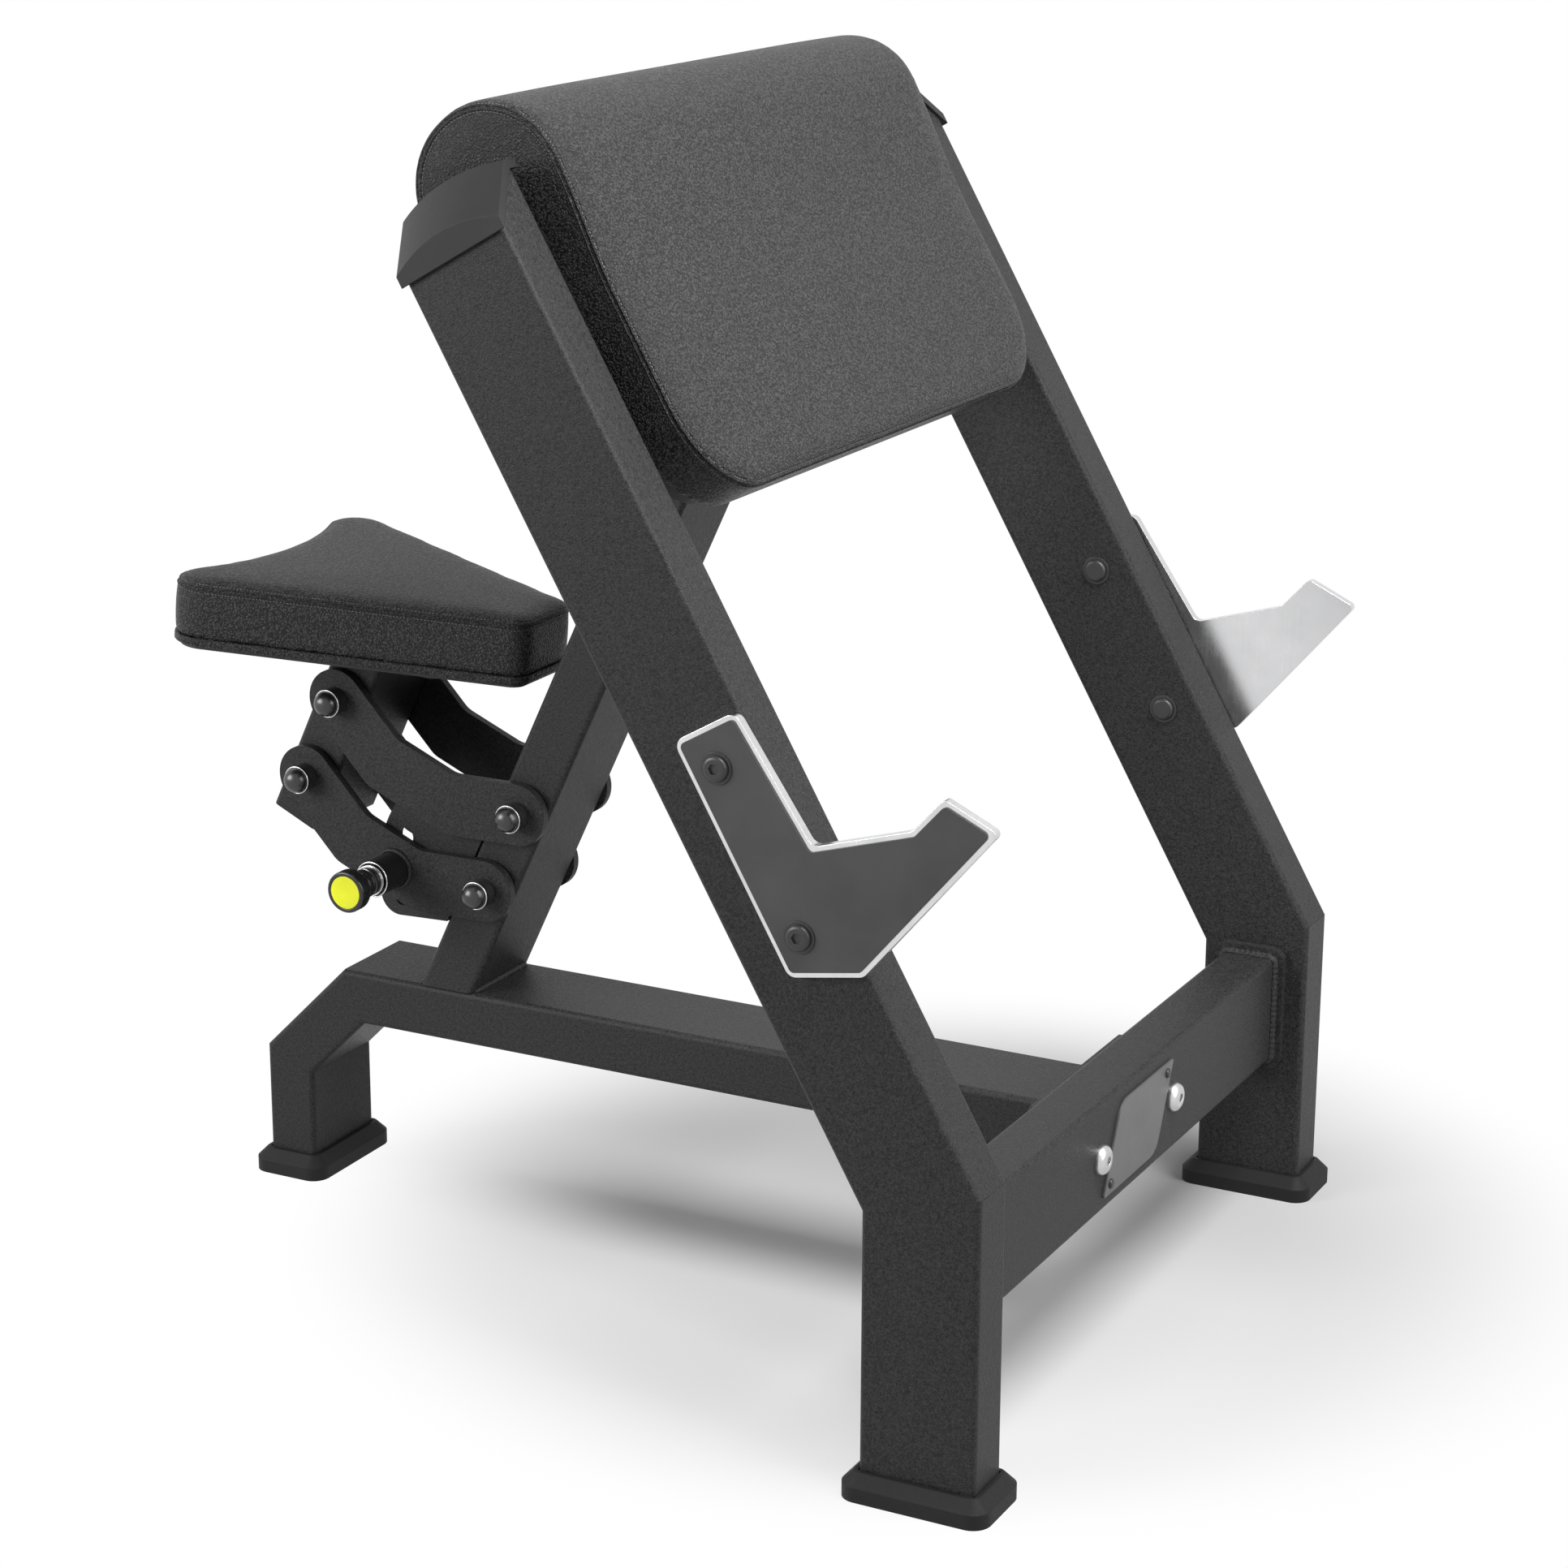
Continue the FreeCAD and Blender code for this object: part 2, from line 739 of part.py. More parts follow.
def make_badge():
    """A bare slanted plate on the crossbar's front, held by two small screws."""
    half = S["badge_width"] / 2
    lean = S["badge_slant"] / 2
    high = S["badge_height"] / 2
    sharp = S["badge_thickness"]
    wide = S["badge_corner"]
    corners = [(-half - lean, -high, sharp), (half - lean, -high, wide), (half + lean, high, sharp),
               (-half + lean, high, wide)]
    x = crossbar_front + S["badge_thickness"] / 2
    badge = plate("badge_plate", corners, S["badge_thickness"], ((x, 0, S["crossbar_height"]), 0), "YZ_Plane")
    holes(badge, "YZ_Plane", badge_screw_spots, S["badge_screw"] + 2 * S["weld_fit"])
    screw = button_bolt("badge_screw", S["badge_screw_head"], S["badge_screw_head_height"], S["badge_screw"],
                        S["badge_thickness"] + S["tube_wall"])
    face = crossbar_front + S["badge_thickness"]
    spots = [spot_at(face, y, S["crossbar_height"] + z, Y_AXIS, 90) for y, z in badge_screw_spots]
    group("badge_screws", screw, spots)


def make_crossbar_bolts():
    """Two bolts through the crossbar and the spine's end plate, with nuts behind it."""
    shank = S["crossbar_bolt"]
    reach = S["tube_thin"] + S["end_plate_thickness"] + S["crossbar_nut_height"]
    bolt = button_bolt("crossbar_bolt_master", S["crossbar_head"], S["crossbar_head_height"], shank, reach)
    hex_socket(bolt, shank * 0.6, S["crossbar_head_height"], S["crossbar_head_height"] / 2)
    nut = new_body("crossbar_nut_master", node=False)
    corner = shank * 0.9 / cosine(sized(30))
    points = []
    for index in range(6):
        turn = sized(60 * index)
        points.append((corner * cosine(turn), corner * sine(turn)))
    pad(nut, polygon(nut, "XY_Plane", points), S["crossbar_nut_height"], symmetric=False)
    holes(nut, "XY_Plane", [(0, 0)], crossbar_bore)
    ys = [side * S["crossbar_bolt_spacing"] / 2 for name, side in SIDES]
    nut_x = crossbar_rear - S["end_plate_thickness"] - S["crossbar_nut_height"]
    z = S["crossbar_height"]
    group("crossbar_bolts", bolt, [spot_at(crossbar_front, y, z, Y_AXIS, 90) for y in ys])
    group("crossbar_nuts", nut, [spot_at(nut_x, y, z, Y_AXIS, 90) for y in ys])


crossbar_bore = S["crossbar_bolt"] + 2 * S["weld_fit"]
badge_screw_y = S["badge_width"] / 2 + S["badge_slant"] / 2 - 1.6 * S["badge_screw_inset"]
badge_screw_z = S["badge_height"] / 2 - S["badge_screw_inset"]
badge_screw_spots = [(badge_screw_y, badge_screw_z), (-badge_screw_y, -badge_screw_z)]
make_crossbar()
make_badge()
make_crossbar_bolts()


# Spine, knee and rear leg


def make_spine():
    """The low spine, its end plate at the crossbar, and the kneed rear leg."""
    thin = S["tube_thin"]
    deep = S["tube_deep"]
    rise = spine_top - S["knee_height"]
    knee = S["knee_angle"]
    knee_length = rise / cosine(knee)
    lower_mitre = thin * tangent(knee / 2)
    upper_mitre = thin * tangent((90 - knee) / 2)
    tube("rear_leg", thin, deep, (S["foot_floor"], S["foot_floor"]),
         (S["knee_height"], S["knee_height"] - lower_mitre), ((rear_face + thin / 2, 0, 0), 0))
    x = rear_face + thin / 2 * cosine(knee)
    z = S["knee_height"] - thin / 2 * sine(knee)
    tube("rear_knee", thin, deep, (sized(0), lower_mitre), (knee_length, knee_length - upper_mitre),
         ((x, 0, z), knee))
    start = rise * tangent(knee)
    end = crossbar_rear - S["end_plate_thickness"] - rear_face
    tube("spine_beam", thin, deep, (start, start + upper_mitre), (end, end),
         ((rear_face, 0, S["spine_height"]), sized(90)))
    y = S["end_plate_width"] / 2
    z = S["end_plate_height"] / 2
    corner = S["flange_corner"]
    corners = [(-y, -z, corner), (y, -z, corner), (y, z, corner), (-y, z, corner)]
    x = crossbar_rear - S["end_plate_thickness"] / 2
    end_plate = plate("spine_end_plate", corners, S["end_plate_thickness"],
                      ((x, 0, S["crossbar_height"]), 0), "YZ_Plane")
    spread = S["crossbar_bolt_spacing"] / 2
    holes(end_plate, "YZ_Plane", [(spread, 0), (-spread, 0)], crossbar_bore)


make_spine()


# Seat post, upper crossbar and sector plate


def make_post():
    """The leaning post, cut level on the spine and square to the upper crossbar's rear face."""
    half = S["tube_thin"] / 2
    foot = half * tangent(S["post_lean"])
    head = half / tangent(post_cross)
    post = tube("seat_post", S["tube_thin"], S["tube_deep"], (-foot, foot),
                (post_length + head, post_length - head), post_frame)
    pivots = [(0, S["pivot_height"]), (0, S["pivot_height"] + S["pivot_pitch"])]
    holes(post, "XZ_Plane", pivots, S["pivot_sleeve"] + 2 * S["weld_fit"])
    x, z = on_upright(crossbar_u, -pad_back - half)
    bar = cross_tube("upper_crossbar", 2 * upright_in, ((x, 0, z), -S["lean"]))
    holes(bar, "YZ_Plane", pad_bolt_spots, S["pad_bolt"] + 2 * S["slip_fit"])


def make_sector():
    """The locking sector: a plate on the post's rear with three holes round the lower pivot."""
    face = -S["tube_thin"] / 2
    radius = S["sector_radius"]
    first = 165.0
    last = 213.0
    spread = (last - first) / 2
    reach = float(radius) / math.cos(math.radians(spread))
    middle = math.radians((first + last) / 2)
    corner = (reach * math.cos(middle), reach * math.sin(middle), radius * ARC_SHARE)
    tail = 0.21 * float(radius)

    def beyond(angle, run):
        """A point on the tangent of the sector's rim, past the place at an angle."""
        turn = math.radians(angle)
        x = float(radius) * math.cos(turn) - run * math.sin(turn)
        return x, float(radius) * math.sin(turn) + run * math.cos(turn)

    corners = [(face, S["sector_top"], 0), beyond(first, -tail) + (8,), corner, beyond(last, tail) + (20,),
               (face, -S["sector_foot"], 0)]
    x, z = lower_pivot
    y = S["sector_thickness"] / 2 - S["tube_deep"] / 2
    sector = plate("locking_sector", corners, S["sector_thickness"], ((x, y, z), S["post_lean"]))
    spots = []
    for step in (-1, 0, 1):
        turn = 180 - lock_turn + S["post_lean"] + step * S["lock_step"]
        spots.append((S["lock_radius"] * cosine(turn), S["lock_radius"] * sine(turn)))
    holes(sector, "XZ_Plane", spots, S["lock_hole"])


pad_bolt_spots = []
for column in (-1, 1):
    for row in (-1, 1):
        pad_bolt_spots.append((column * S["pad_bolt_spacing"] / 2, row * S["pad_bolt_rows"] / 2))
make_post()
make_sector()


# Linkage arms, pivots and bushes


def arm_corners():
    """The dog-leg arm: a bent centerline between its pivots, widened and rounded at both ends."""
    half = float(S["arm_width"]) / 2
    length = float(S["arm_length"])
    bend = float(S["arm_bend"])
    sag = float(S["arm_sag"])
    line = [FreeCAD.Vector(0, 0, 0), FreeCAD.Vector(bend, sag, 0), FreeCAD.Vector(length - bend, sag, 0),
            FreeCAD.Vector(length, 0, 0)]
    runs = [(line[index + 1] - line[index]).normalize() for index in range(3)]
    line[0] = line[0] - runs[0] * half
    line[3] = line[3] + runs[2] * half

    def beside(sign):
        """The line moved sideways, with mitred bends."""
        points = []
        for index, spot in enumerate(line):
            before = runs[max(index - 1, 0)]
            after = runs[min(index, 2)]
            normal = FreeCAD.Vector(-(before.y + after.y), before.x + after.x, 0).normalize()
            stretch = math.cos(before.getAngle(after) / 2)
            move = spot + normal * (sign * half / stretch)
            radius = half * ARC_SHARE if index in (0, 3) else S["arm_bend_radius"]
            points.append((move.x, move.y, radius))
        return points

    return beside(-1) + beside(1)[::-1]


def make_arms(level, pivot):
    """The left and right arm of one level, each with two holes for its bushes."""
    for name, side in SIDES:
        arm = plate("%s_%s_arm" % (name, level), arm_corners(), S["arm_thickness"],
                    ((pivot[0], side * arm_mid, pivot[1]), arm_turn))
        bore = S["bush_diameter"] + 2 * S["weld_fit"]
        holes(arm, "XZ_Plane", [(0, 0), (S["arm_length"], 0)], bore)
        if level == "lower" and side < 0:
            turn = S["lock_angle"]
            spot = (S["lock_radius"] * cosine(turn), S["lock_radius"] * sine(turn))
            holes(arm, "XZ_Plane", [spot], S["plunger_diameter"] + 4 * S["pivot_clearance"])
    bush = turned(level + "_bush", ring_profile(S["bush_diameter"], pivot_bore, S["arm_thickness"]))
    spots = []
    for x, z in (pivot, behind(pivot)):
        for name, side in SIDES:
            spots.append(toward_y(x, side * arm_inner, z, side))
    group(level + "_arm_bushes", bush, spots)


def make_pivots(place_name, pivots):
    """Two cross pins with sleeves in the tube, thrust washers, domed cap nuts, and collars on the right."""
    half = S["tube_deep"] / 2
    collar_start = arm_outer + S["slip_fit"]
    cap_start = collar_start + S["collar_length"]
    sleeve = turned(place_name + "_sleeve", ring_profile(S["pivot_sleeve"], pivot_bore, S["tube_deep"], -half))
    reach = cap_start + S["cap_nut_depth"]
    shaft = S["pivot_pin"] / 2
    left = collar_start + S["cap_nut_depth"]
    pin = turned(place_name + "_pin", [(0, -reach), (shaft, -reach), (shaft, left), (0, left)])
    washer = turned(place_name + "_washer",
                    ring_profile(S["thrust_washer"], pivot_bore, S["thrust_washer_thickness"]))
    collar_bore = S["pivot_pin"] + 2 * S["weld_fit"]
    collar = turned(place_name + "_collar", ring_profile(S["collar_diameter"], collar_bore, S["collar_length"]))
    rim = S["cap_nut_diameter"] / 2
    dome = S["collar_diameter"] / 2 - 1
    bore = collar_bore / 2
    top = S["cap_nut_rim"] + S["cap_nut_dome"]
    cap = turned(place_name + "_cap", [(bore, 0), (rim, 0), (rim, S["cap_nut_rim"]), (dome, S["cap_nut_rim"]),
                                       (dome, top), (0, top), (0, S["cap_nut_depth"] + S["slip_fit"]),
                                       (bore, S["cap_nut_depth"] + S["slip_fit"])])
    dress(cap, "Fillet", at_height(top), S["cap_nut_dome"] * 0.94)
    middles = [toward_y(x, 0, z, 1) for x, z in pivots]

    def both_sides(left_start, right_start):
        """A placement outside the tube on each side of each pivot."""
        ends = ((1, left_start), (-1, right_start))
        return [toward_y(x, side * start, z, side) for x, z in pivots for side, start in ends]

    group(place_name + "_pivot_sleeves", sleeve, middles)
    group(place_name + "_pivot_pins", pin, middles)
    group(place_name + "_thrust_washers", washer, both_sides(half, half))
    group(place_name + "_pivot_collars", collar,
          [toward_y(x, -collar_start, z, -1) for x, z in pivots])
    group(place_name + "_pivot_caps", cap, both_sides(collar_start, cap_start))


pivot_bore = S["pivot_pin"] + 2 * S["pivot_clearance"]
make_arms("lower", lower_pivot)
make_arms("upper", upper_pivot)
make_pivots("front", (lower_pivot, upper_pivot))
make_pivots("rear", (rear_lower_pivot, rear_upper_pivot))


# Locking pin on the right lower arm, shown drawn back clear of the sector


def on_lock(label, profile):
    """A turned piece of the locking pin; heights count outward from the arm's outer face."""
    body = turned(label, profile, node=True)
    body.Placement = toward_y(lock_x, -arm_outer, lock_z, -1)
    body.setExpression("Placement.Base.x", lock_x.text)
    body.setExpression("Placement.Base.y", (-arm_outer).text)
    body.setExpression("Placement.Base.z", lock_z.text)
    return body


def make_housing():
    """The pin's housing: a sleeve with a spring chamber, a lid and a mouth that takes the knob's neck."""
    out = S["housing_diameter"] / 2
    rod = S["plunger_diameter"] / 2 + 2 * S["pivot_clearance"]
    chamber = S["plunger_shoulder"] / 2 + S["slip_fit"]
    mouth = S["knob_ring"] / 2 + S["slip_fit"]
    on_lock("pin_housing", [(rod, 0), (out, 0), (out, S["housing_length"]), (mouth, S["housing_length"]),
                            (mouth, lid_top), (rod, lid_top), (rod, lid_under), (chamber, lid_under),
                            (chamber, S["housing_floor"]), (rod, S["housing_floor"])])


def make_plunger():
    """The plunger with its shoulder, and the knob with its ring and face disc."""
    rod = S["plunger_diameter"] / 2
    tip = S["plunger_tip_gap"] - S["arm_thickness"] - S["arm_gap"]
    shoulder = S["plunger_shoulder"] / 2
    shoulder_top = lid_under - S["spring_room"]
    shoulder_low = shoulder_top - S["plunger_shoulder_length"]
    neck_low = S["housing_length"] + S["knob_neck_gap"]
    head_low = neck_low + S["knob_ring_length"] + S["knob_neck_length"]
    head_top = head_low + S["knob_head_length"]
    rod_top = head_low
    on_lock("locking_plunger", [(0, tip), (rod, tip), (rod, shoulder_low), (shoulder, shoulder_low),
                                (shoulder, shoulder_top), (rod, shoulder_top), (rod, rod_top), (0, rod_top)])
    bore = rod + S["slip_fit"]
    ring = S["knob_ring"] / 2
    neck = S["knob_neck"] / 2
    head = S["knob_head"] / 2
    disc = S["knob_disc"] / 2
    ring_top = neck_low + S["knob_ring_length"]
    seat = head_top - S["knob_disc_depth"]
    on_lock("knob_ring", [(bore, neck_low), (ring, neck_low), (ring, ring_top), (bore, ring_top)])
    knob = on_lock("pin_knob", [(bore, ring_top), (neck, ring_top), (neck, head_low), (head, head_low),
                                (head, head_top), (disc + S["weld_fit"], head_top),
                                (disc + S["weld_fit"], seat), (0, seat), (0, rod_top), (bore, rod_top)])
    dress(knob, "Fillet", at_height(head_low), S["knob_head_length"] / 8)
    on_lock("knob_disc", [(0, seat), (disc, seat), (disc, head_top), (0, head_top)])


def make_spring():
    """The pressed spring between lid and shoulder: one wire wound in quarter-turn arcs."""
    wire = float(S["spring_wire"])
    room = float(S["spring_room"])
    radius = (float(S["plunger_diameter"]) + float(S["plunger_shoulder"])) / 4
    low = float(lid_under) - room + wire
    high = float(lid_under) - wire
    quarters = round(4 * float(S["spring_turns"]))

    def spot(step):
        """A point of the helix, steps of a quarter turn from its lower end."""
        turn = step * math.pi / 2
        height = low + (high - low) * step / quarters
        return FreeCAD.Vector(radius * math.cos(turn), radius * math.sin(turn), height)

    arcs = [Part.Arc(spot(step), spot(step + 0.5), spot(step + 1)).toShape() for step in range(quarters)]
    heading = (spot(0.01) - spot(0)).normalize()
    section = Part.Wire([Part.makeCircle(wire / 2, spot(0), heading)])
    item = doc.addObject("Part::Feature", "pin_spring")
    item.Label = "pin_spring"
    item.Shape = Part.Wire(arcs).makePipeShell([section], True, False)
    item.Placement = toward_y(lock_x, -arm_outer, lock_z, -1)
    nodes.append(item)
    print("spring gap between turns %.2f mm" % ((high - low) * 4 / quarters - wire))


lid_top = S["housing_length"] - S["housing_lid_depth"]
lid_under = lid_top - S["housing_lid"]
make_housing()
make_plunger()
make_spring()


# Seat carriage, plate, board and cushion


def seat_curves(inset):
    """The wedge seat seen from above, drawn in by an inset: tapered sides and a hollowed rear edge."""
    front = float(S["seat_front_reach"])
    rear = -float(S["seat_rear_reach"])
    front_half = float(S["seat_front_width"]) / 2
    rear_half = float(S["seat_rear_width"]) / 2
    slope = (rear_half - front_half) / (front - rear)
    stretch = math.hypot(1, slope)
    front_radius = float(S["seat_front_corner"])
    rear_radius = float(S["seat_rear_corner"])
    hollow = float(S["seat_hollow"])
    side_out = FreeCAD.Vector(slope / stretch, 1 / stretch, 0)

    def corner_center(x, radius):
        """The center of a corner circle that touches the tapered side."""
        side_y = rear_half - slope * (x - rear)
        return FreeCAD.Vector(x, side_y - radius * stretch, 0)

    nose = corner_center(front - front_radius, front_radius)
    heel = corner_center(rear + rear_radius, rear_radius)
    reach = hollow - rear_radius
    bow = (heel.y ** 2 + reach ** 2 - rear_radius ** 2) / (2 * hollow)
    bow_center = FreeCAD.Vector(rear + hollow - bow, 0, 0)
    inward = (bow_center - heel).normalize()
    front_radius -= float(inset)
    rear_radius -= float(inset)

    def swept(center, radius, first, last):
        """Start, middle and end of an arc between two directions."""
        halfway = (first + last).normalize()
        return [center + first * radius, center + halfway * radius, center + last * radius]

    left = swept(nose, front_radius, X_AXIS, side_out) + swept(heel, rear_radius, side_out, inward)
    right = [FreeCAD.Vector(spot.x, -spot.y, 0) for spot in left]
    deepest = FreeCAD.Vector(rear + hollow + float(inset), 0, 0)
    return [Part.LineSegment(right[0], left[0]), Part.Arc(*left[:3]), Part.LineSegment(left[2], left[3]),
            Part.Arc(*left[3:]), Part.Arc(left[5], deepest, right[5]), Part.Arc(*right[:2:-1]),
            Part.LineSegment(right[3], right[2]), Part.Arc(*right[2::-1])]


def make_seat_layer(label, low, thickness, inset, rise):
    """One layer of the seat; a rise crowns its top from front to rear."""
    body = new_body(label)
    sketch = new_sketch(body, "XY_Plane", low)
    sketch.addGeometry(seat_curves(inset), False)
    pad(body, sketch, thickness + rise, symmetric=False)
    if float(rise) > NEAR:
        front = S["seat_front_reach"]
        rear = -S["seat_rear_reach"]
        edge = low + thickness
        above = edge + 4 * rise
        middle, apex, radius = crown(rear, front, edge, rise)
        corners = [(rear, edge, 0), (middle, apex, radius), (front, edge, 0), (front, above, 0),
                   (rear, above, 0)]
        pocket(body, outline(body, "XZ_Plane", corners))
    place(body, *seat_frame)
    return body


def make_end_plug():
    """The plastic plug in the carriage's open lower end, with a flat rim over the tube's edge."""
    plug = new_body("carriage_end_plug")
    low = -S["carriage_tail"]
    rim = S["plug_rim"]
    thin = S["tube_thin"]
    deep = S["tube_deep"]
    pad(plug, rectangle(plug, "XY_Plane", thin, deep, lift=low - rim), rim, symmetric=False)
    dress(plug, "Fillet", along(Z_AXIS), S["tube_corner"])
    gap = 2 * S["tube_wall"] + 2 * S["slip_fit"]
    pad(plug, rectangle(plug, "XY_Plane", thin - gap, deep - gap, lift=low), S["plug_depth"], symmetric=False)
    place(plug, (rear_lower_pivot[0], 0, rear_lower_pivot[1]), S["post_lean"])


def make_seat():
    """The carriage tube on the rear pivots and the seat on its sloping top."""
    half = S["tube_thin"] / 2
    slope = half * tangent(S["post_lean"] - S["seat_pitch"])
    top = S["carriage_top"]
    carriage = tube("seat_carriage", S["tube_thin"], S["tube_deep"], (-S["carriage_tail"], -S["carriage_tail"]),
                    (top - slope, top + slope),
                    ((rear_lower_pivot[0], 0, rear_lower_pivot[1]), S["post_lean"]))
    holes(carriage, "XZ_Plane", [(0, 0), (0, S["pivot_pitch"])], S["pivot_sleeve"] + 2 * S["weld_fit"])
    make_end_plug()
    length = S["seat_plate_length"]
    width = S["seat_plate_width"]
    spots = []
    for x_side in (1, -1):
        for y_side in (1, -1):
            spots.append((x_side * (length / 2 - S["seat_screw_inset"]),
                          y_side * (width / 2 - S["seat_screw_inset"])))
    bore = S["seat_screw"] + 2 * S["weld_fit"]
    steel = new_body("seat_plate")
    pad(steel, rectangle(steel, "XY_Plane", length, width), S["seat_plate_thickness"], symmetric=False)
    dress(steel, "Fillet", along(Z_AXIS), S["seat_screw_inset"] / 2)
    holes(steel, "XY_Plane", spots, bore)
    place(steel, *seat_frame)
    board_low = S["seat_plate_thickness"]
    cushion_low = board_low + S["seat_board_thickness"]
    board = make_seat_layer("seat_board", board_low, S["seat_board_thickness"], S["seat_board_inset"], sized(0))
    holes(board, "XY_Plane", spots, bore)
    make_seat_layer("seat_cushion", cushion_low, S["seat_thickness"], sized(0), S["seat_crown"])
    reach = S["seat_plate_thickness"] + S["seat_screw_bite"]
    screw = button_bolt("seat_screw_master", S["seat_screw_head"], S["seat_screw_head_height"], S["seat_screw"],
                        reach)
    turn = FreeCAD.Rotation(Y_AXIS, float(S["seat_pitch"]))
    upside_down = FreeCAD.Rotation(X_AXIS, 180)
    origin = FreeCAD.Vector(float(seat_x), 0, float(seat_z))
    places = []
    for x, y in spots:
        offset = turn.multVec(FreeCAD.Vector(float(x), float(y), 0))
        places.append(FreeCAD.Placement(origin + offset, turn.multiply(upside_down)))
    group("seat_screws", screw, places)


make_seat()


# Arm pad, board and bolts


def make_arm_pad():
    """The arm cushion: a tapered slab with a rolled top, rounded lower corners and drawn-in ends."""
    body = new_body("arm_pad")
    radius = S["pad_roll_radius"]
    front = S["pad_front"]
    rear = front - 2 * radius
    roll_top = pad_roll_center + radius
    roll_low = pad_roll_center - radius
    face = S["pad_face"]
    tip = front + (front - face) * radius / S["pad_length"]
    arc = radius * ARC_SHARE
    corners = [(tip, roll_top, arc), (rear, roll_top, arc), (rear, roll_low, arc), (-board_front, roll_low, 0),
               (-board_front, pad_bottom, 0), (face, pad_bottom, 0)]
    pad(body, outline(body, "XZ_Plane", corners), pad_width)
    half_height = (roll_top - pad_bottom) / 2
    drawn = S["pad_drawn_in"]
    bow_radius = (half_height * half_height + drawn * drawn) / (2 * drawn)
    reach = pad_width / 2 + bow_radius - drawn
    holes(body, "YZ_Plane", [(reach, pad_bottom + half_height), (-reach, pad_bottom + half_height)], 2 * bow_radius)
    low = float(pad_bottom) + NEAR
    dress(body, "Fillet", along(X_AXIS, lambda spot: spot.z < low), S["pad_corner"])
    place(body, *upright_frame(0))


def make_pad_board():
    """The plywood board behind the cushion, bolted to the upper crossbar."""
    inset = S["pad_board_inset"]
    y = pad_width / 2 - inset
    low = pad_bottom + inset
    high = pad_roll_center - S["pad_roll_radius"] - S["slip_fit"]
    corner = S["pad_corner"] - inset
    corners = [(-y, low, corner), (y, low, corner), (y, high, 0), (-y, high, 0)]
    x, z = on_upright(sized(0), -pad_back + S["pad_board_thickness"] / 2)
    board = plate("arm_pad_board", corners, S["pad_board_thickness"], ((x, 0, z), -S["lean"]), "YZ_Plane")
    spots = [(y, crossbar_u + z) for y, z in pad_bolt_spots]
    holes(board, "YZ_Plane", spots, S["pad_bolt"] + 2 * S["weld_fit"])
    bolt = button_bolt("pad_bolt_master", S["pad_bolt_head"], S["pad_bolt_head_height"], S["pad_bolt"],
                       S["tube_thin"] + S["pad_bolt_bite"])
    turn = -90 - S["lean"]
    places = []
    for y, u in spots:
        x, z = on_upright(u, -pad_back - S["tube_thin"])
        places.append(spot_at(x, y, z, Y_AXIS, turn))
    group("arm_pad_bolts", bolt, places)


make_arm_pad()
make_pad_board()


# Bar hooks with their inlays and bolts


def hook_corners(inset):
    """The hook's outline, drawn in by an inset."""
    radius = S["hook_corner"]
    sharp = radius / 2
    corners = [(-S["hook_back"], S["hook_top"], radius), (S["hook_front_top"], S["hook_top"], radius),
               (S["hook_notch"], S["hook_notch_height"], radius),
               (S["hook_arm_reach"], S["hook_arm_height"], radius),
               (S["hook_tip_back"], S["hook_tip_top"], sharp), (S["hook_tip_reach"], S["hook_tip_bottom"], sharp),
               (0, S["hook_foot_front"], radius), (-S["hook_back"], S["hook_foot_back"], radius)]
    if inset is None:
        return corners
    count = len(corners)
    spots = [FreeCAD.Vector(float(x), float(y), 0) for x, y, corner in corners]
    drawn = []
    for index in range(count):
        before = (spots[index] - spots[index - 1]).normalize()
        after = (spots[(index + 1) % count] - spots[index]).normalize()
        inward = FreeCAD.Vector(before.y + after.y, -before.x - after.x, 0).normalize()
        stretch = math.cos(before.getAngle(after) / 2)
        move = spots[index] + inward * (float(inset) / stretch)
        drawn.append((move.x, move.y, sharp))
    return drawn


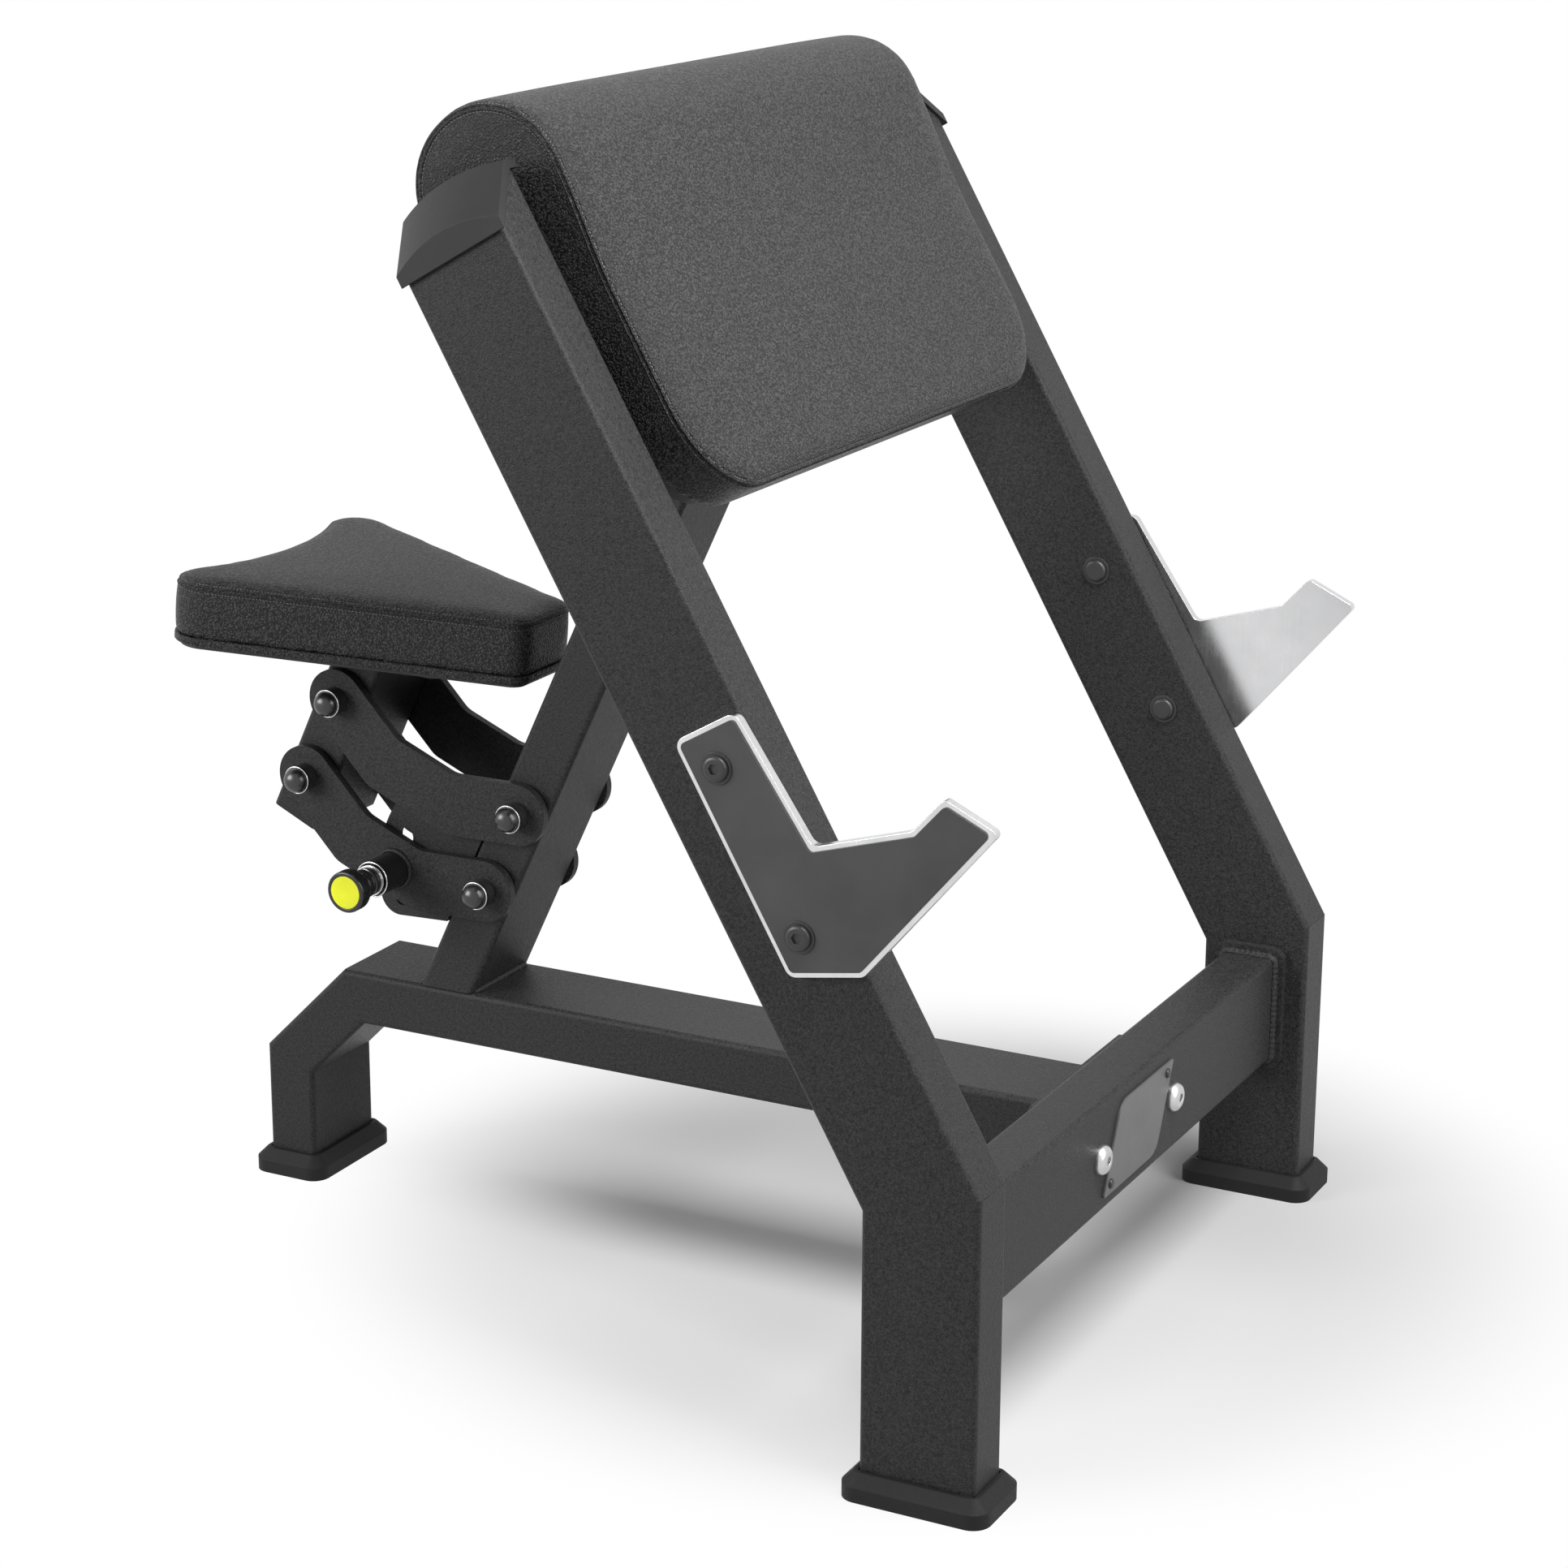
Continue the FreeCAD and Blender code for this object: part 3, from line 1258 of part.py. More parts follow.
def make_hooks():
    """A steel hook on each upright's outer face with a thin inlay, bolted through the upright."""
    plate_mid = upright_out + S["hook_thickness"] / 2
    inlay_mid = upright_out + S["hook_thickness"] + S["hook_inlay_thickness"] / 2
    bolts = [(-S["hook_bolt_inset"], S["hook_bolt_upper"]), (-S["hook_bolt_inset"], hook_bolt_lower)]
    for name, side in SIDES:
        hook = plate(name + "_bar_hook", hook_corners(None), S["hook_thickness"], upright_frame(side * plate_mid))
        holes(hook, "XZ_Plane", bolts, hook_hole)
        inlay = plate(name + "_hook_inlay", hook_corners(S["hook_inlay_inset"]), S["hook_inlay_thickness"],
                      upright_frame(side * inlay_mid))
        holes(inlay, "XZ_Plane", bolts, hook_hole)
    outer = upright_out + S["hook_thickness"] + S["hook_inlay_thickness"]
    head_seat = outer + S["hook_washer_thickness"]
    inner_seat = upright_in - S["hook_washer_thickness"]
    shank = head_seat - inner_seat + S["hook_nut_depth"]
    head = S["hook_bolt_head_height"]
    bolt = button_bolt("hook_bolt_master", S["hook_bolt_head"], head, S["hook_bolt"], shank)
    hex_socket(bolt, S["hook_bolt_socket"], head, head / 2)
    bore = S["hook_bolt"] / 2 + S["weld_fit"]
    rim = S["hook_bolt_head"] / 2
    sunk = S["hook_nut_depth"] + S["slip_fit"]
    nut = turned("hook_nut_master", [(bore, 0), (rim, 0), (rim, head), (0, head), (0, sunk), (bore, sunk)])
    dress(nut, "Fillet", at_height(head), head * 0.8)
    washer = turned("hook_washer_master", ring_profile(S["hook_washer"], hook_hole, S["hook_washer_thickness"]))
    heads = []
    nuts = []
    washers = []
    for v, u in bolts:
        x, z = on_upright(u, v)
        for name, side in SIDES:
            heads.append(toward_y(x, side * head_seat, z, side))
            nuts.append(toward_y(x, side * inner_seat, z, -side))
            washers.append(toward_y(x, side * outer, z, side))
            washers.append(toward_y(x, side * upright_in, z, -side))
    group("hook_bolts", bolt, heads)
    group("hook_nuts", nut, nuts)
    group("hook_washers", washer, washers)


make_hooks()


# Checks and export


def check_document():
    """Stops if any object failed or any node has no valid solid."""
    doc.recompute()
    for item in doc.Objects:
        if "Invalid" in item.State or "Error" in item.State:
            raise RuntimeError("%s failed: %s" % (item.Label, item.State))
    for item in nodes:
        if item.Shape.isNull() or not item.Shape.isValid() or not item.Shape.Solids:
            raise RuntimeError("%s has no valid solid" % item.Label)


check_document()
os.makedirs("parts", exist_ok=True)
for node in nodes:
    node.Shape.exportStep("parts/%s.step" % node.Label)
print("post foot at x %.2f mm" % post_base_x.value)
print("%d nodes, %d solids" % (len(nodes), sum(len(node.Shape.Solids) for node in nodes)))
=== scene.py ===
import json
import math

import bpy
import numpy as np
from bpy.props import FloatProperty, FloatVectorProperty, IntProperty, PointerProperty
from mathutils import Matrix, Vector


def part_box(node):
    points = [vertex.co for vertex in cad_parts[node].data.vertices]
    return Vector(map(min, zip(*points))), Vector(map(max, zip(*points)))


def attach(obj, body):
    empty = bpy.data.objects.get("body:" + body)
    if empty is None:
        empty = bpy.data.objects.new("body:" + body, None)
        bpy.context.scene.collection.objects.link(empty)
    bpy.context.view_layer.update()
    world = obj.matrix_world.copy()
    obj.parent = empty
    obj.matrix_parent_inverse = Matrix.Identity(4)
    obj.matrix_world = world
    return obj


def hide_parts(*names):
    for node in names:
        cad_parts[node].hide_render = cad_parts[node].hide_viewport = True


bl_info = {
    "name": "Preacher Curl Bench Finish",
    "version": (1, 0, 0),
    "blender": (4, 5, 0),
    "location": "View3D > Sidebar > Bench",
    "description": "Upholsters, finishes and stages a preacher curl bench",
    "category": "Object",
}

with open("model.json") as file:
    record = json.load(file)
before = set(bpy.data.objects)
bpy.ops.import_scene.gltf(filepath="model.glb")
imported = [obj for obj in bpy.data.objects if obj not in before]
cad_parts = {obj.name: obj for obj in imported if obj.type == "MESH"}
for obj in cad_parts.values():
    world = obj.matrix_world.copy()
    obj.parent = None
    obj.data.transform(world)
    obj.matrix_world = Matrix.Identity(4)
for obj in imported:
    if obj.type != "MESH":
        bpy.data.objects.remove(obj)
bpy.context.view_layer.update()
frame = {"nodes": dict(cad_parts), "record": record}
JOINTS = {joint["name"]: joint for joint in frame["record"]["behaviour"]["joints"]}

# Nodes that wear each finish; every other node wears the powder coat.
FINISH_NODES = {
    "foot_rubber": "left_front_foot right_front_foot rear_foot",
    "satin_plastic": "left_top_cap right_top_cap carriage_end_plug front_thrust_washers rear_thrust_washers",
    "stained_ply": "arm_pad_board seat_board",
    "polished_steel": "left_bar_hook right_bar_hook",
    "liner": "left_hook_inlay right_hook_inlay",
    "badge_satin": "badge_plate",
    "black_oxide": "badge_screws hook_bolts hook_nuts hook_washers seat_screws arm_pad_bolts "
                   "front_pivot_collars rear_pivot_collars",
    "dome_satin": "front_pivot_caps rear_pivot_caps",
    "zinc": "crossbar_bolts crossbar_nuts",
    "ground_steel": "front_pivot_pins rear_pivot_pins front_pivot_sleeves rear_pivot_sleeves "
                    "locking_plunger pin_spring",
    "bronze": "lower_arm_bushes upper_arm_bushes",
    "cap_gloss": "pin_housing",
    "bright_chrome": "knob_ring",
    "knob_gloss": "pin_knob",
    "knob_yellow": "knob_disc",
}
NODE_FINISH = {node: finish for finish, nodes in FINISH_NODES.items() for node in nodes.split()}

# How far outside the cushion a seam's band starts, and the spacing of the points along the seams,
# round the seat and along the welds.
SEAM_START = 0.009
SEAM_STEP = 0.0028
SEAT_STEP = 0.003
WELD_STEP = 0.0013

# How the cover of a cushion behaves as cloth, the depth next to its board that is held still,
# and the depths over which the covers of the pad and the seat then come free.
COVER_CLOTH = {"quality": 5, "mass": 0.3, "tension_stiffness": 15, "compression_stiffness": 15,
               "shear_stiffness": 5, "bending_stiffness": 0.5, "use_pressure": True}
HELD_DEPTH = 0.001
PAD_FREE_DEPTH = 0.018
SEAT_FREE_DEPTH = 0.012

# Sections carried round the seat's outline, as pairs of inset and height.
SEAT_UNDER_EDGE = ((0.012, 0), (0.0035, 0.0004), (0.001, 0.0018))
SEAT_HEM = ((-0.0003, 0.0168), (-0.0006, 0.0152), (-0.0006, 0.0108), (0.0002, 0.0098), (0.0015, 0.0094),
            (0.004, 0.0094), (0.0044, 0.0102), (0.0044, 0.0168))

# Sections turned about the locking pin, as pairs of radius and distance from the arm's face.
KNOB_FOOT = ((0, 0.067), (0.0073, 0.067), (0.0073, 0.041), (0.0122, 0.041), (0.013, 0.0415))
KNOB_HEAD = ((0.0142, 0.0645), (0.0172, 0.0655), (0.0186, 0.0662), (0.019, 0.0672), (0.0191, 0.0685),
             (0.0191, 0.0768), (0.0189, 0.078), (0.0184, 0.0788), (0.0176, 0.0791), (0.0158, 0.0791),
             (0.0153, 0.0789), (0.0151, 0.0784), (0.0151, 0.0771), (0.0, 0.0771))
HOUSING_WELD = ((0.0199, -0.0002), (0.0197, 0.0009), (0.0189, 0.0021), (0.0176, 0.0031), (0.0166, 0.0034))
KNOB_RIBS = 3
KNOB_SEGMENTS = 64

# Place, target and size of each light, by the name of its power.
LIGHTS = {
    "side": ((-2.5, -2.7, 1.7), (0.0, 0.0, 0.5), 2.0),
    "front": ((3.2, -0.3, 1.9), (0.0, 0.0, 0.5), 2.0),
    "top": ((1.05, -0.3, 2.15), (0.0, -0.1, 0.9), 1.0),
}
FLOOR_REACH = 40
WHITE = (1, 1, 1, 1)
# Near black that is mixed into the seam's cover as painted shade.
PAINTED_SHADE_BLACK = (0.002, 0.002, 0.002, 1)


def number(description, default):
    """A plain number property."""
    return FloatProperty(description=description, default=default)


def length(description, default):
    """A length property in metres."""
    return FloatProperty(description=description, default=default, unit="LENGTH", precision=5)


def angle(description, degrees):
    """An angle property."""
    return FloatProperty(description=description, default=math.radians(degrees), subtype="ANGLE")


def triple(description, default, subtype):
    """A property of three numbers."""
    return FloatVectorProperty(description=description, default=default, size=3, subtype=subtype)


def colour(description, default):
    """A linear colour property."""
    return FloatVectorProperty(description=description, default=default, size=3, subtype="COLOR",
                               min=0.0, max=1.0)


class BenchSizes(bpy.types.PropertyGroup):
    """Sizes of the upholstery, its sewing and the small turned and welded details."""

    lean: angle("Lean of the uprights", 29.88)
    bend_x: length("How far forward the uprights' front faces bend", 0.45165)
    bend_z: length("Height of the bend", 0.2663)
    tube_half_thin: length("Half a crossbar's thickness", 0.025)
    tube_half_deep: length("Half a crossbar's depth", 0.05)
    tube_corner: length("Outer radius of a crossbar's corners", 0.005)
    pad_half: length("Half the arm pad's width at its seams", 0.3165)
    pad_bottom: length("Arm pad's lower seam along the slant", 0.5605)
    pad_corner: length("Radius of the arm pad's lower corners", 0.08)
    roll_centre: length("Place of the rolled top along the slant", 0.852)
    roll_radius: length("Radius of the rolled top", 0.0712)
    roll_start: length("Where the face begins to stand out towards the roll", 0.735)
    pad_front: length("Arm pad's face at the roll, in front of the uprights", 0.0316)
    pad_face: length("Arm pad's lower face, in front of the uprights", 0.0242)
    pad_back: length("Arm pad's back, on its board", -0.0245)
    edge_run: length("Width over which a cushion turns down to its seam", 0.009)
    edge_drop: length("How far a cushion turns down to its seam", 0.0046)
    crown_run: length("Width over which a cushion falls gently towards its edge", 0.15)
    crown_drop: length("How far a cushion falls gently towards its edge", 0.0014)
    seat_x: length("Seat's origin along the bench", -0.32288)
    seat_z: length("Seat's origin above the floor", 0.51535)
    seat_pitch: angle("Nose-down pitch of the seat", 5.57)
    seat_low: length("Cushion's underside above the seat's origin", 0.0142)
    seat_seam: length("Height of the seat's top seam", 0.0645)
    seat_crown: length("Rise of the seat's top above its seam", 0.0068)
    seat_front: length("Seat's front edge from its origin", 0.1677)
    seat_rear: length("Seat's rear corners from its origin", 0.144)
    seat_front_half: length("Half the seat's front width", 0.0425)
    seat_rear_half: length("Half the seat's rear width", 0.16)
    seat_front_corner: length("Radius of the seat's front corners", 0.02)
    seat_rear_corner: length("Radius of the seat's rear corners", 0.028)
    seat_hollow: length("Depth of the hollow in the seat's rear edge", 0.023)
    voxel: length("Size of the cushion mesh's cells", 0.0052)
    regain: length("How far a cover is moved out again after smoothing", 0.0006)
    pad_swell: length("Most that the arm pad's cover may swell", 0.0016)
    seat_swell: length("Most that the seat's cover may swell", 0.0016)
    pressure: number("Air pressure that swells a cover", 4.0)
    sim_frames: IntProperty(description="Frames of the swelling", default=20)
    seam_depth: length("Depth of the line about which a sewn seam is bent", 0.01)
    seam_half: length("Half the width of a sewn seam", 0.0078)
    seam_thickness: length("Thickness of a sewn seam's cover", 0.001)
    seam_rise: length("How far a seam's cover is raised between its edges", 0.0009)
    seam_sink: length("How far a seam's edges are sunk", 0.0005)
    welt_place: length("Distance of each welt from its seam", 0.0021)
    welt_width: length("Width of a welt", 0.0011)
    welt_rise: length("Height of a welt", 0.0008)
    groove_width: length("Width of the groove on a seam", 0.0011)
    groove_depth: length("Depth of the groove on a seam", 0.0016)
    furrow_width: length("Width of the furrow under a stitch row", 0.001)
    furrow_depth: length("Depth of the furrow under a stitch row", 0.001)
    stitch_pitch: length("Distance from stitch to stitch", 0.0031)
    stitch_length: length("Length of one stitch", 0.0024)
    stitch_width: length("Width of one stitch", 0.0011)
    stitch_row: length("Distance of each stitch row from its seam", 0.0044)
    stitch_lift: length("How far a stitch's middle stands above its furrow", 0.0003)
    weld_leg: length("Leg of a weld bead", 0.0045)
    weld_pitch: length("Distance from ripple to ripple of a weld", 0.0052)
    weld_inset: length("How far a bead stops short of the post's sides", 0.004)
    arm_face: length("Outer face of the linkage arms from the middle plane", 0.06)
    cap_ring: length("Radius of the bright ring round a domed cap", 0.0123)
    cap_wire: length("Radius of that ring's wire", 0.0007)
    near_rim: length("Rim of the right domed caps from the middle plane", 0.0743)
    far_rim: length("Rim of the left domed caps from the middle plane", 0.0633)
    lip_radius: length("Radius of the bright lip on the pin's housing", 0.0161)
    lip_height: length("Distance of that lip from the arm's face", 0.036)
    lip_wire: length("Radius of that lip's section", 0.0006)


class BenchFinishes(bpy.types.PropertyGroup):
    """Colours of the bench's finishes."""

    coat: colour("Black textured powder coat of the frame", (0.0245, 0.0245, 0.025))
    upholstery: colour("Black pebble-grain cover", (0.05, 0.05, 0.051))
    thread: colour("Sewing thread", (0.12, 0.12, 0.121))
    rubber: colour("Feet", (0.012, 0.012, 0.012))
    plastic: colour("Moulded caps and plugs", (0.02, 0.02, 0.0205))
    gloss: colour("Knob and pin housing", (0.012, 0.012, 0.013))
    dome: colour("Domed pivot caps", (0.012, 0.012, 0.0125))
    oxide: colour("Dark bolts and collars", (0.02, 0.02, 0.021))
    steel: colour("Polished bar hooks", (0.68, 0.68, 0.69))
    zinc: colour("Bright bolts", (0.6, 0.6, 0.61))
    ground: colour("Pivot pins and sleeves", (0.55, 0.55, 0.56))
    chrome: colour("Rings of the locking pin", (0.8, 0.8, 0.81))
    liner: colour("Inlay of the bar hooks", (0.062, 0.062, 0.063))
    badge: colour("Bare plate on the crossbar", (0.095, 0.095, 0.097))
    ply: colour("Stained boards behind the cushions", (0.012, 0.012, 0.012))
    bronze: colour("Bushes of the linkage", (0.45, 0.3, 0.14))
    yellow: colour("Disc on the locking pin", (0.79, 0.83, 0.012))
    floor: colour("Studio floor", (0.55, 0.55, 0.55))


class BenchStage(bpy.types.PropertyGroup):
    """Camera and light."""

    camera_place: triple("Where the camera stands", (1.50157, -2.73236, 1.36006), "TRANSLATION")
    camera_turn: triple("How the camera is turned",
                        (math.radians(73.3855), math.radians(-0.1906), math.radians(27.4692)), "EULER")
    lens: number("Focal length on a 36 mm sensor", 84.821)
    sky: number("Strength of the even light from all round", 0.1)
    side: number("Power of the light on the bench's right", 126.0)
    front: number("Power of the light ahead of the bench", 56.0)
    top: number("Power of the light above the pad", 50.0)
    fade_centre: triple("Middle of the part of the floor that shows shade", (0.2, 0.14, 0.0), "TRANSLATION")
    fade_start: length("Where the floor begins to turn white", 0.26)
    fade_end: length("Where the floor is white", 0.64)


# Surfaces


def grid_faces(rows, columns, wrap_rows=False, wrap_columns=False):
    """Quads of a grid of points stored row by row; a wrapped side closes on itself."""
    row = np.arange(rows if wrap_rows else rows - 1)
    column = np.arange(columns if wrap_columns else columns - 1)
    first, second = np.meshgrid(row, column, indexing="ij")
    below = (first + 1) % rows
    right = (second + 1) % columns
    quads = np.stack([first * columns + second, below * columns + second,
                      below * columns + right, first * columns + right], axis=-1)
    return quads.reshape(-1, 4)


def repeated(faces, copies, size):
    """Faces of a shape with a number of points, for each of its copies."""
    return (faces[None] + np.arange(copies)[:, None, None] * size).reshape(-1, 4)


def shade_smooth(mesh):
    """Shades every face of a mesh smooth."""
    mesh.polygons.foreach_set("use_smooth", np.ones(len(mesh.polygons), bool))


def new_piece(name, points, faces, body, finish=None, slot=None):
    """A mesh object from points and lists of face corners, riding on a body."""
    mesh = bpy.data.meshes.new(name)
    mesh.from_pydata(points.reshape(-1, 3).tolist(), [], [list(face) for face in faces])
    mesh.validate()
    shade_smooth(mesh)
    piece = bpy.data.objects.new(name, mesh)
    bpy.context.scene.collection.objects.link(piece)
    if finish:
        mesh.materials.append(bpy.data.materials[finish])
    if body:
        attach(piece, body)
    return piece


def gathered(items, attribute):
    """A vector of each of a mesh's points, as an array."""
    flat = np.empty(len(items) * 3, np.float32)
    items.foreach_get(attribute, flat)
    return flat.reshape(-1, 3).astype(float)


def set_coordinates(mesh, points):
    """Moves the mesh's points."""
    mesh.vertices.foreach_set("co", points.astype(np.float32).ravel())
    mesh.update()


def modify(piece, kind, **settings):
    """Gives a piece a modifier with its settings, and applies it."""
    modifier = piece.modifiers.new(kind.lower(), kind)
    for name, value in settings.items():
        setattr(modifier, name, value)
    bpy.context.view_layer.objects.active = piece
    with bpy.context.temp_override(object=piece, active_object=piece, selected_objects=[piece]):
        bpy.ops.object.modifier_apply(modifier=modifier.name)


def unit(vectors):
    """Vectors scaled to length 1."""
    return vectors / np.maximum(np.linalg.norm(vectors, axis=-1, keepdims=True), 1e-12)


def smooth_step(share):
    """A share from 0 to 1 eased at both ends."""
    share = np.clip(share, 0, 1)
    return share * share * (3 - 2 * share)


def spokes(turn, first, second):
    """Directions cos t * first + sin t * second, for each pair of directions and each turn t."""
    return np.cos(turn)[None, :, None] * first[:, None, :] + np.sin(turn)[None, :, None] * second[:, None, :]


def turned(section, spots, axes, sides, others, segments):
    """Points spot + height * axis + radius * (cos t * side + sin t * other), for each pair in a section."""
    radii, heights = np.asarray(section, float).T
    spoke = spokes(np.linspace(0, 2 * np.pi, segments, endpoint=False), sides, others)
    return (spots[:, None, None, :] + heights[None, :, None, None] * axes[:, None, None, :]
            + radii[None, :, None, None] * spoke[:, None, :, :])


def lathe(section, spots, axes, segments=48, closed=False):
    """Surfaces of revolution: a section of radii and heights turned about each spot's own axis."""
    spots = np.asarray(spots, float).reshape(-1, 3)
    axes = unit(np.asarray(axes, float).reshape(-1, 3))
    sides = unit(np.cross(np.array([0.0, 0.0, 1.0]), axes))
    points = turned(section, spots, axes, sides, np.cross(axes, sides), segments)
    faces = grid_faces(len(section), segments, wrap_rows=closed, wrap_columns=True)[:, ::-1]
    return points.reshape(-1, 3), repeated(faces, len(spots), len(section) * segments)


def wire_section(radius, height, wire):
    """Section of a ring of round wire, as pairs of radius and height."""
    turn = np.linspace(0, 2 * np.pi, 8, endpoint=False)
    return np.stack([radius + wire * np.cos(turn), height + wire * np.sin(turn)], axis=1)


def resample(path, pitch, closed=False):
    """Points spaced evenly along a path, about a pitch apart; columns after the third go along with them."""
    if closed:
        path = np.vstack([path, path[:1]])
    along = np.concatenate([[0], np.cumsum(np.linalg.norm(np.diff(path[:, :3], axis=0), axis=1))])
    count = max(int(round(along[-1] / pitch)), 2)
    places = np.linspace(0, along[-1], count + 1)
    if closed:
        places = places[:-1]
    return np.stack([np.interp(places, along, path[:, axis]) for axis in range(path.shape[1])], axis=1)


def headings(path, closed=False):
    """Unit tangents of a path."""
    if closed:
        return unit(np.roll(path, -1, axis=0) - np.roll(path, 1, axis=0))
    return unit(np.gradient(path, axis=0))


def evened(values, reach, closed):
    """Values averaged along their first axis over a reach of neighbours on each side."""
    mode = "wrap" if closed else "edge"
    padded = np.pad(values, [(reach, reach)] + [(0, 0)] * (values.ndim - 1), mode=mode)
    total = np.cumsum(np.concatenate([np.zeros_like(padded[:1]), padded]), axis=0)
    width = 2 * reach + 1
    return (total[width:] - total[:-width]) / width


# Cushions


def turned_down(distance, sizes):
    """How far a cushion lies below its crown at a distance from its seam.

    A quarter of an ellipse next to the seam, and a gentle parabola further in.
    """
    edge = np.clip(1 - distance / sizes.edge_run, 0, 1)
    broad = np.clip(1 - distance / sizes.crown_run, 0, 1)
    return sizes.edge_drop * (1 - np.sqrt(1 - edge ** 2)) + sizes.crown_drop * broad ** 2


def swell(piece, sizes, most, free):
    """Remeshes a cushion, blows its cover up as cloth and keeps each point within its limit.

    free gives, for each point, the share of the movement that it may keep.
    """
    modify(piece, "REMESH", mode="VOXEL", voxel_size=sizes.voxel)
    modify(piece, "SMOOTH", factor=0.5, iterations=3)
    rest = gathered(piece.data.vertices, "co")
    normals = gathered(piece.data.vertex_normals, "vector")
    rest = rest + normals * (sizes.regain * free(rest))[:, None]
    set_coordinates(piece.data, rest)
    cloth = piece.modifiers.new("cover", "CLOTH")
    for name, value in COVER_CLOTH.items():
        setattr(cloth.settings, name, value)
    cloth.settings.uniform_pressure_force = sizes.pressure
    cloth.settings.effector_weights.gravity = 0
    scene = bpy.context.scene
    for step in range(1, sizes.sim_frames + 1):
        scene.frame_set(step)
    shown = piece.evaluated_get(bpy.context.evaluated_depsgraph_get()).to_mesh()
    move = gathered(shown.vertices, "co") - rest
    piece.modifiers.remove(cloth)
    scene.frame_set(1)
    reach = np.linalg.norm(move, axis=1, keepdims=True)
    move *= np.minimum(1, most / np.maximum(reach, 1e-9))
    set_coordinates(piece.data, rest + move * free(rest)[:, None])
    shade_smooth(piece.data)
    modify(piece, "SUBSURF", levels=1, render_levels=1)


def sewn_seam(name, cushion, path, face_out, side_out, sizes, body, closed):
    """A sewn seam along a cushion's edge: a narrow band of cover with two sunk rows of stitches.

    A point starts on an arc about a line inside the edge, is drawn straight in to the cushion, and is
    then lifted by a section with a groove on the seam, a welt beside it and a furrow under each row. The
    groove and the furrows also get painted shade: the cover's colour is darkened there.
    """
    middle = unit(face_out + side_out)
    line = headings(path, closed)
    over = unit(np.cross(middle, line))
    middle = np.cross(line, over)
    axis = path - sizes.seam_depth * middle
    across = np.linspace(-sizes.seam_half, sizes.seam_half, 37)
    ray = spokes(across / sizes.seam_depth, middle, over)
    far = sizes.seam_depth + SEAM_START
    rows, columns = ray.shape[:2]
    band = new_piece(name, axis[:, None, :] + far * ray, grid_faces(rows, columns, wrap_rows=closed), None)
    modify(band, "SHRINKWRAP", target=cushion, wrap_method="PROJECT", use_negative_direction=True,
           use_positive_direction=False)
    lying = gathered(band.data.vertices, "co").reshape(rows, columns, 3)
    reach = np.sum((lying - axis[:, None, :]) * ray, axis=-1)
    nearest, farthest = 0.002, far - 0.0015
    missed = (reach > farthest) | (reach < nearest)
    usual = np.median(reach, axis=0)[None, :]
    reach = evened(np.where(missed, usual, reach), 3, closed)
    reach = evened(reach.T, 1, False).T
    groove = np.exp(-(across / sizes.groove_width) ** 2)
    welt = np.exp(-((np.abs(across) - sizes.welt_place) / sizes.welt_width) ** 2)
    furrow = np.exp(-((np.abs(across) - sizes.stitch_row) / sizes.furrow_width) ** 2)
    height = sizes.seam_rise * (1 - (across / sizes.seam_half) ** 6) - sizes.seam_sink
    height += sizes.welt_rise * welt - sizes.groove_depth * groove - sizes.furrow_depth * furrow
    points = axis[:, None, :] + (reach + height[None, :])[:, :, None] * ray
    set_coordinates(band.data, points)
    # Painted shade: the seam's groove and the furrows under its stitch rows are marked for darkening the
    # cover's colour.
    crease = band.data.attributes.new("crease", "FLOAT", "POINT")
    crease.data.foreach_set("value", np.tile(np.clip(groove + 0.9 * furrow, 0, 1), rows).astype(np.float32))
    band.data.materials.append(bpy.data.materials["seam_cover"])
    modify(band, "SOLIDIFY", thickness=sizes.seam_thickness)
    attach(band, body)
    columns = [int(np.argmin(np.abs(across - side * sizes.stitch_row))) for side in (-1, 1)]
    sew(name.replace("seam", "stitches"), points[:, columns], ray[:, columns], sizes, body, closed)


def sew(name, rows, lifts, sizes, body, closed):
    """Rows of stitches: little swelled rods, end to end along each row.

    A ring of a rod lies at length * -cos t along the row, with its radius times sin t.
    """
    rings = 5
    sides = 6
    swing = np.linspace(0.12, np.pi - 0.12, rings)
    section = np.stack([np.sin(swing) * sizes.stitch_width, -np.cos(swing) * sizes.stitch_length], axis=1) / 2
    joined = np.concatenate([rows, lifts], axis=-1)
    threads = [resample(joined[:, side], sizes.stitch_pitch, closed) for side in range(rows.shape[1])]
    line = np.vstack([headings(thread[:, :3], closed) for thread in threads])
    places = np.vstack(threads)
    up = unit(places[:, 3:])
    spots = places[:, :3] + up * sizes.stitch_lift
    rods = turned(section, spots, line, unit(np.cross(line, up)), up, sides)
    lid = np.array([[0, 1, 2, 3], [0, 3, 4, 5]])
    faces = np.vstack([grid_faces(rings, sides, wrap_columns=True), lid, lid[:, ::-1] + (rings - 1) * sides])
    new_piece(name, rods, repeated(faces, len(spots), rings * sides), body, "thread", "upholstery")


class LeaningShape:
    """A shape in its own frame, which leans about the side axis: ahead, side and up from an origin."""

    def __init__(self, sizes, x, z, lean):
        self.sizes = sizes
        self.origin = np.array([x, 0, z])
        self.ahead = np.array([math.cos(lean), 0, math.sin(lean)])
        self.up = np.array([-math.sin(lean), 0, math.cos(lean)])
        self.side = np.array([0.0, 1.0, 0.0])

    def world(self, ahead, side, up):
        """World points of the shape's coordinates."""
        return (self.origin + np.asarray(ahead)[..., None] * self.ahead
                + np.asarray(side)[..., None] * self.side + np.asarray(up)[..., None] * self.up)

    def local(self, points):
        """How far ahead and up world points lie."""
        rel = points - self.origin
        return rel @ self.ahead, rel @ self.up


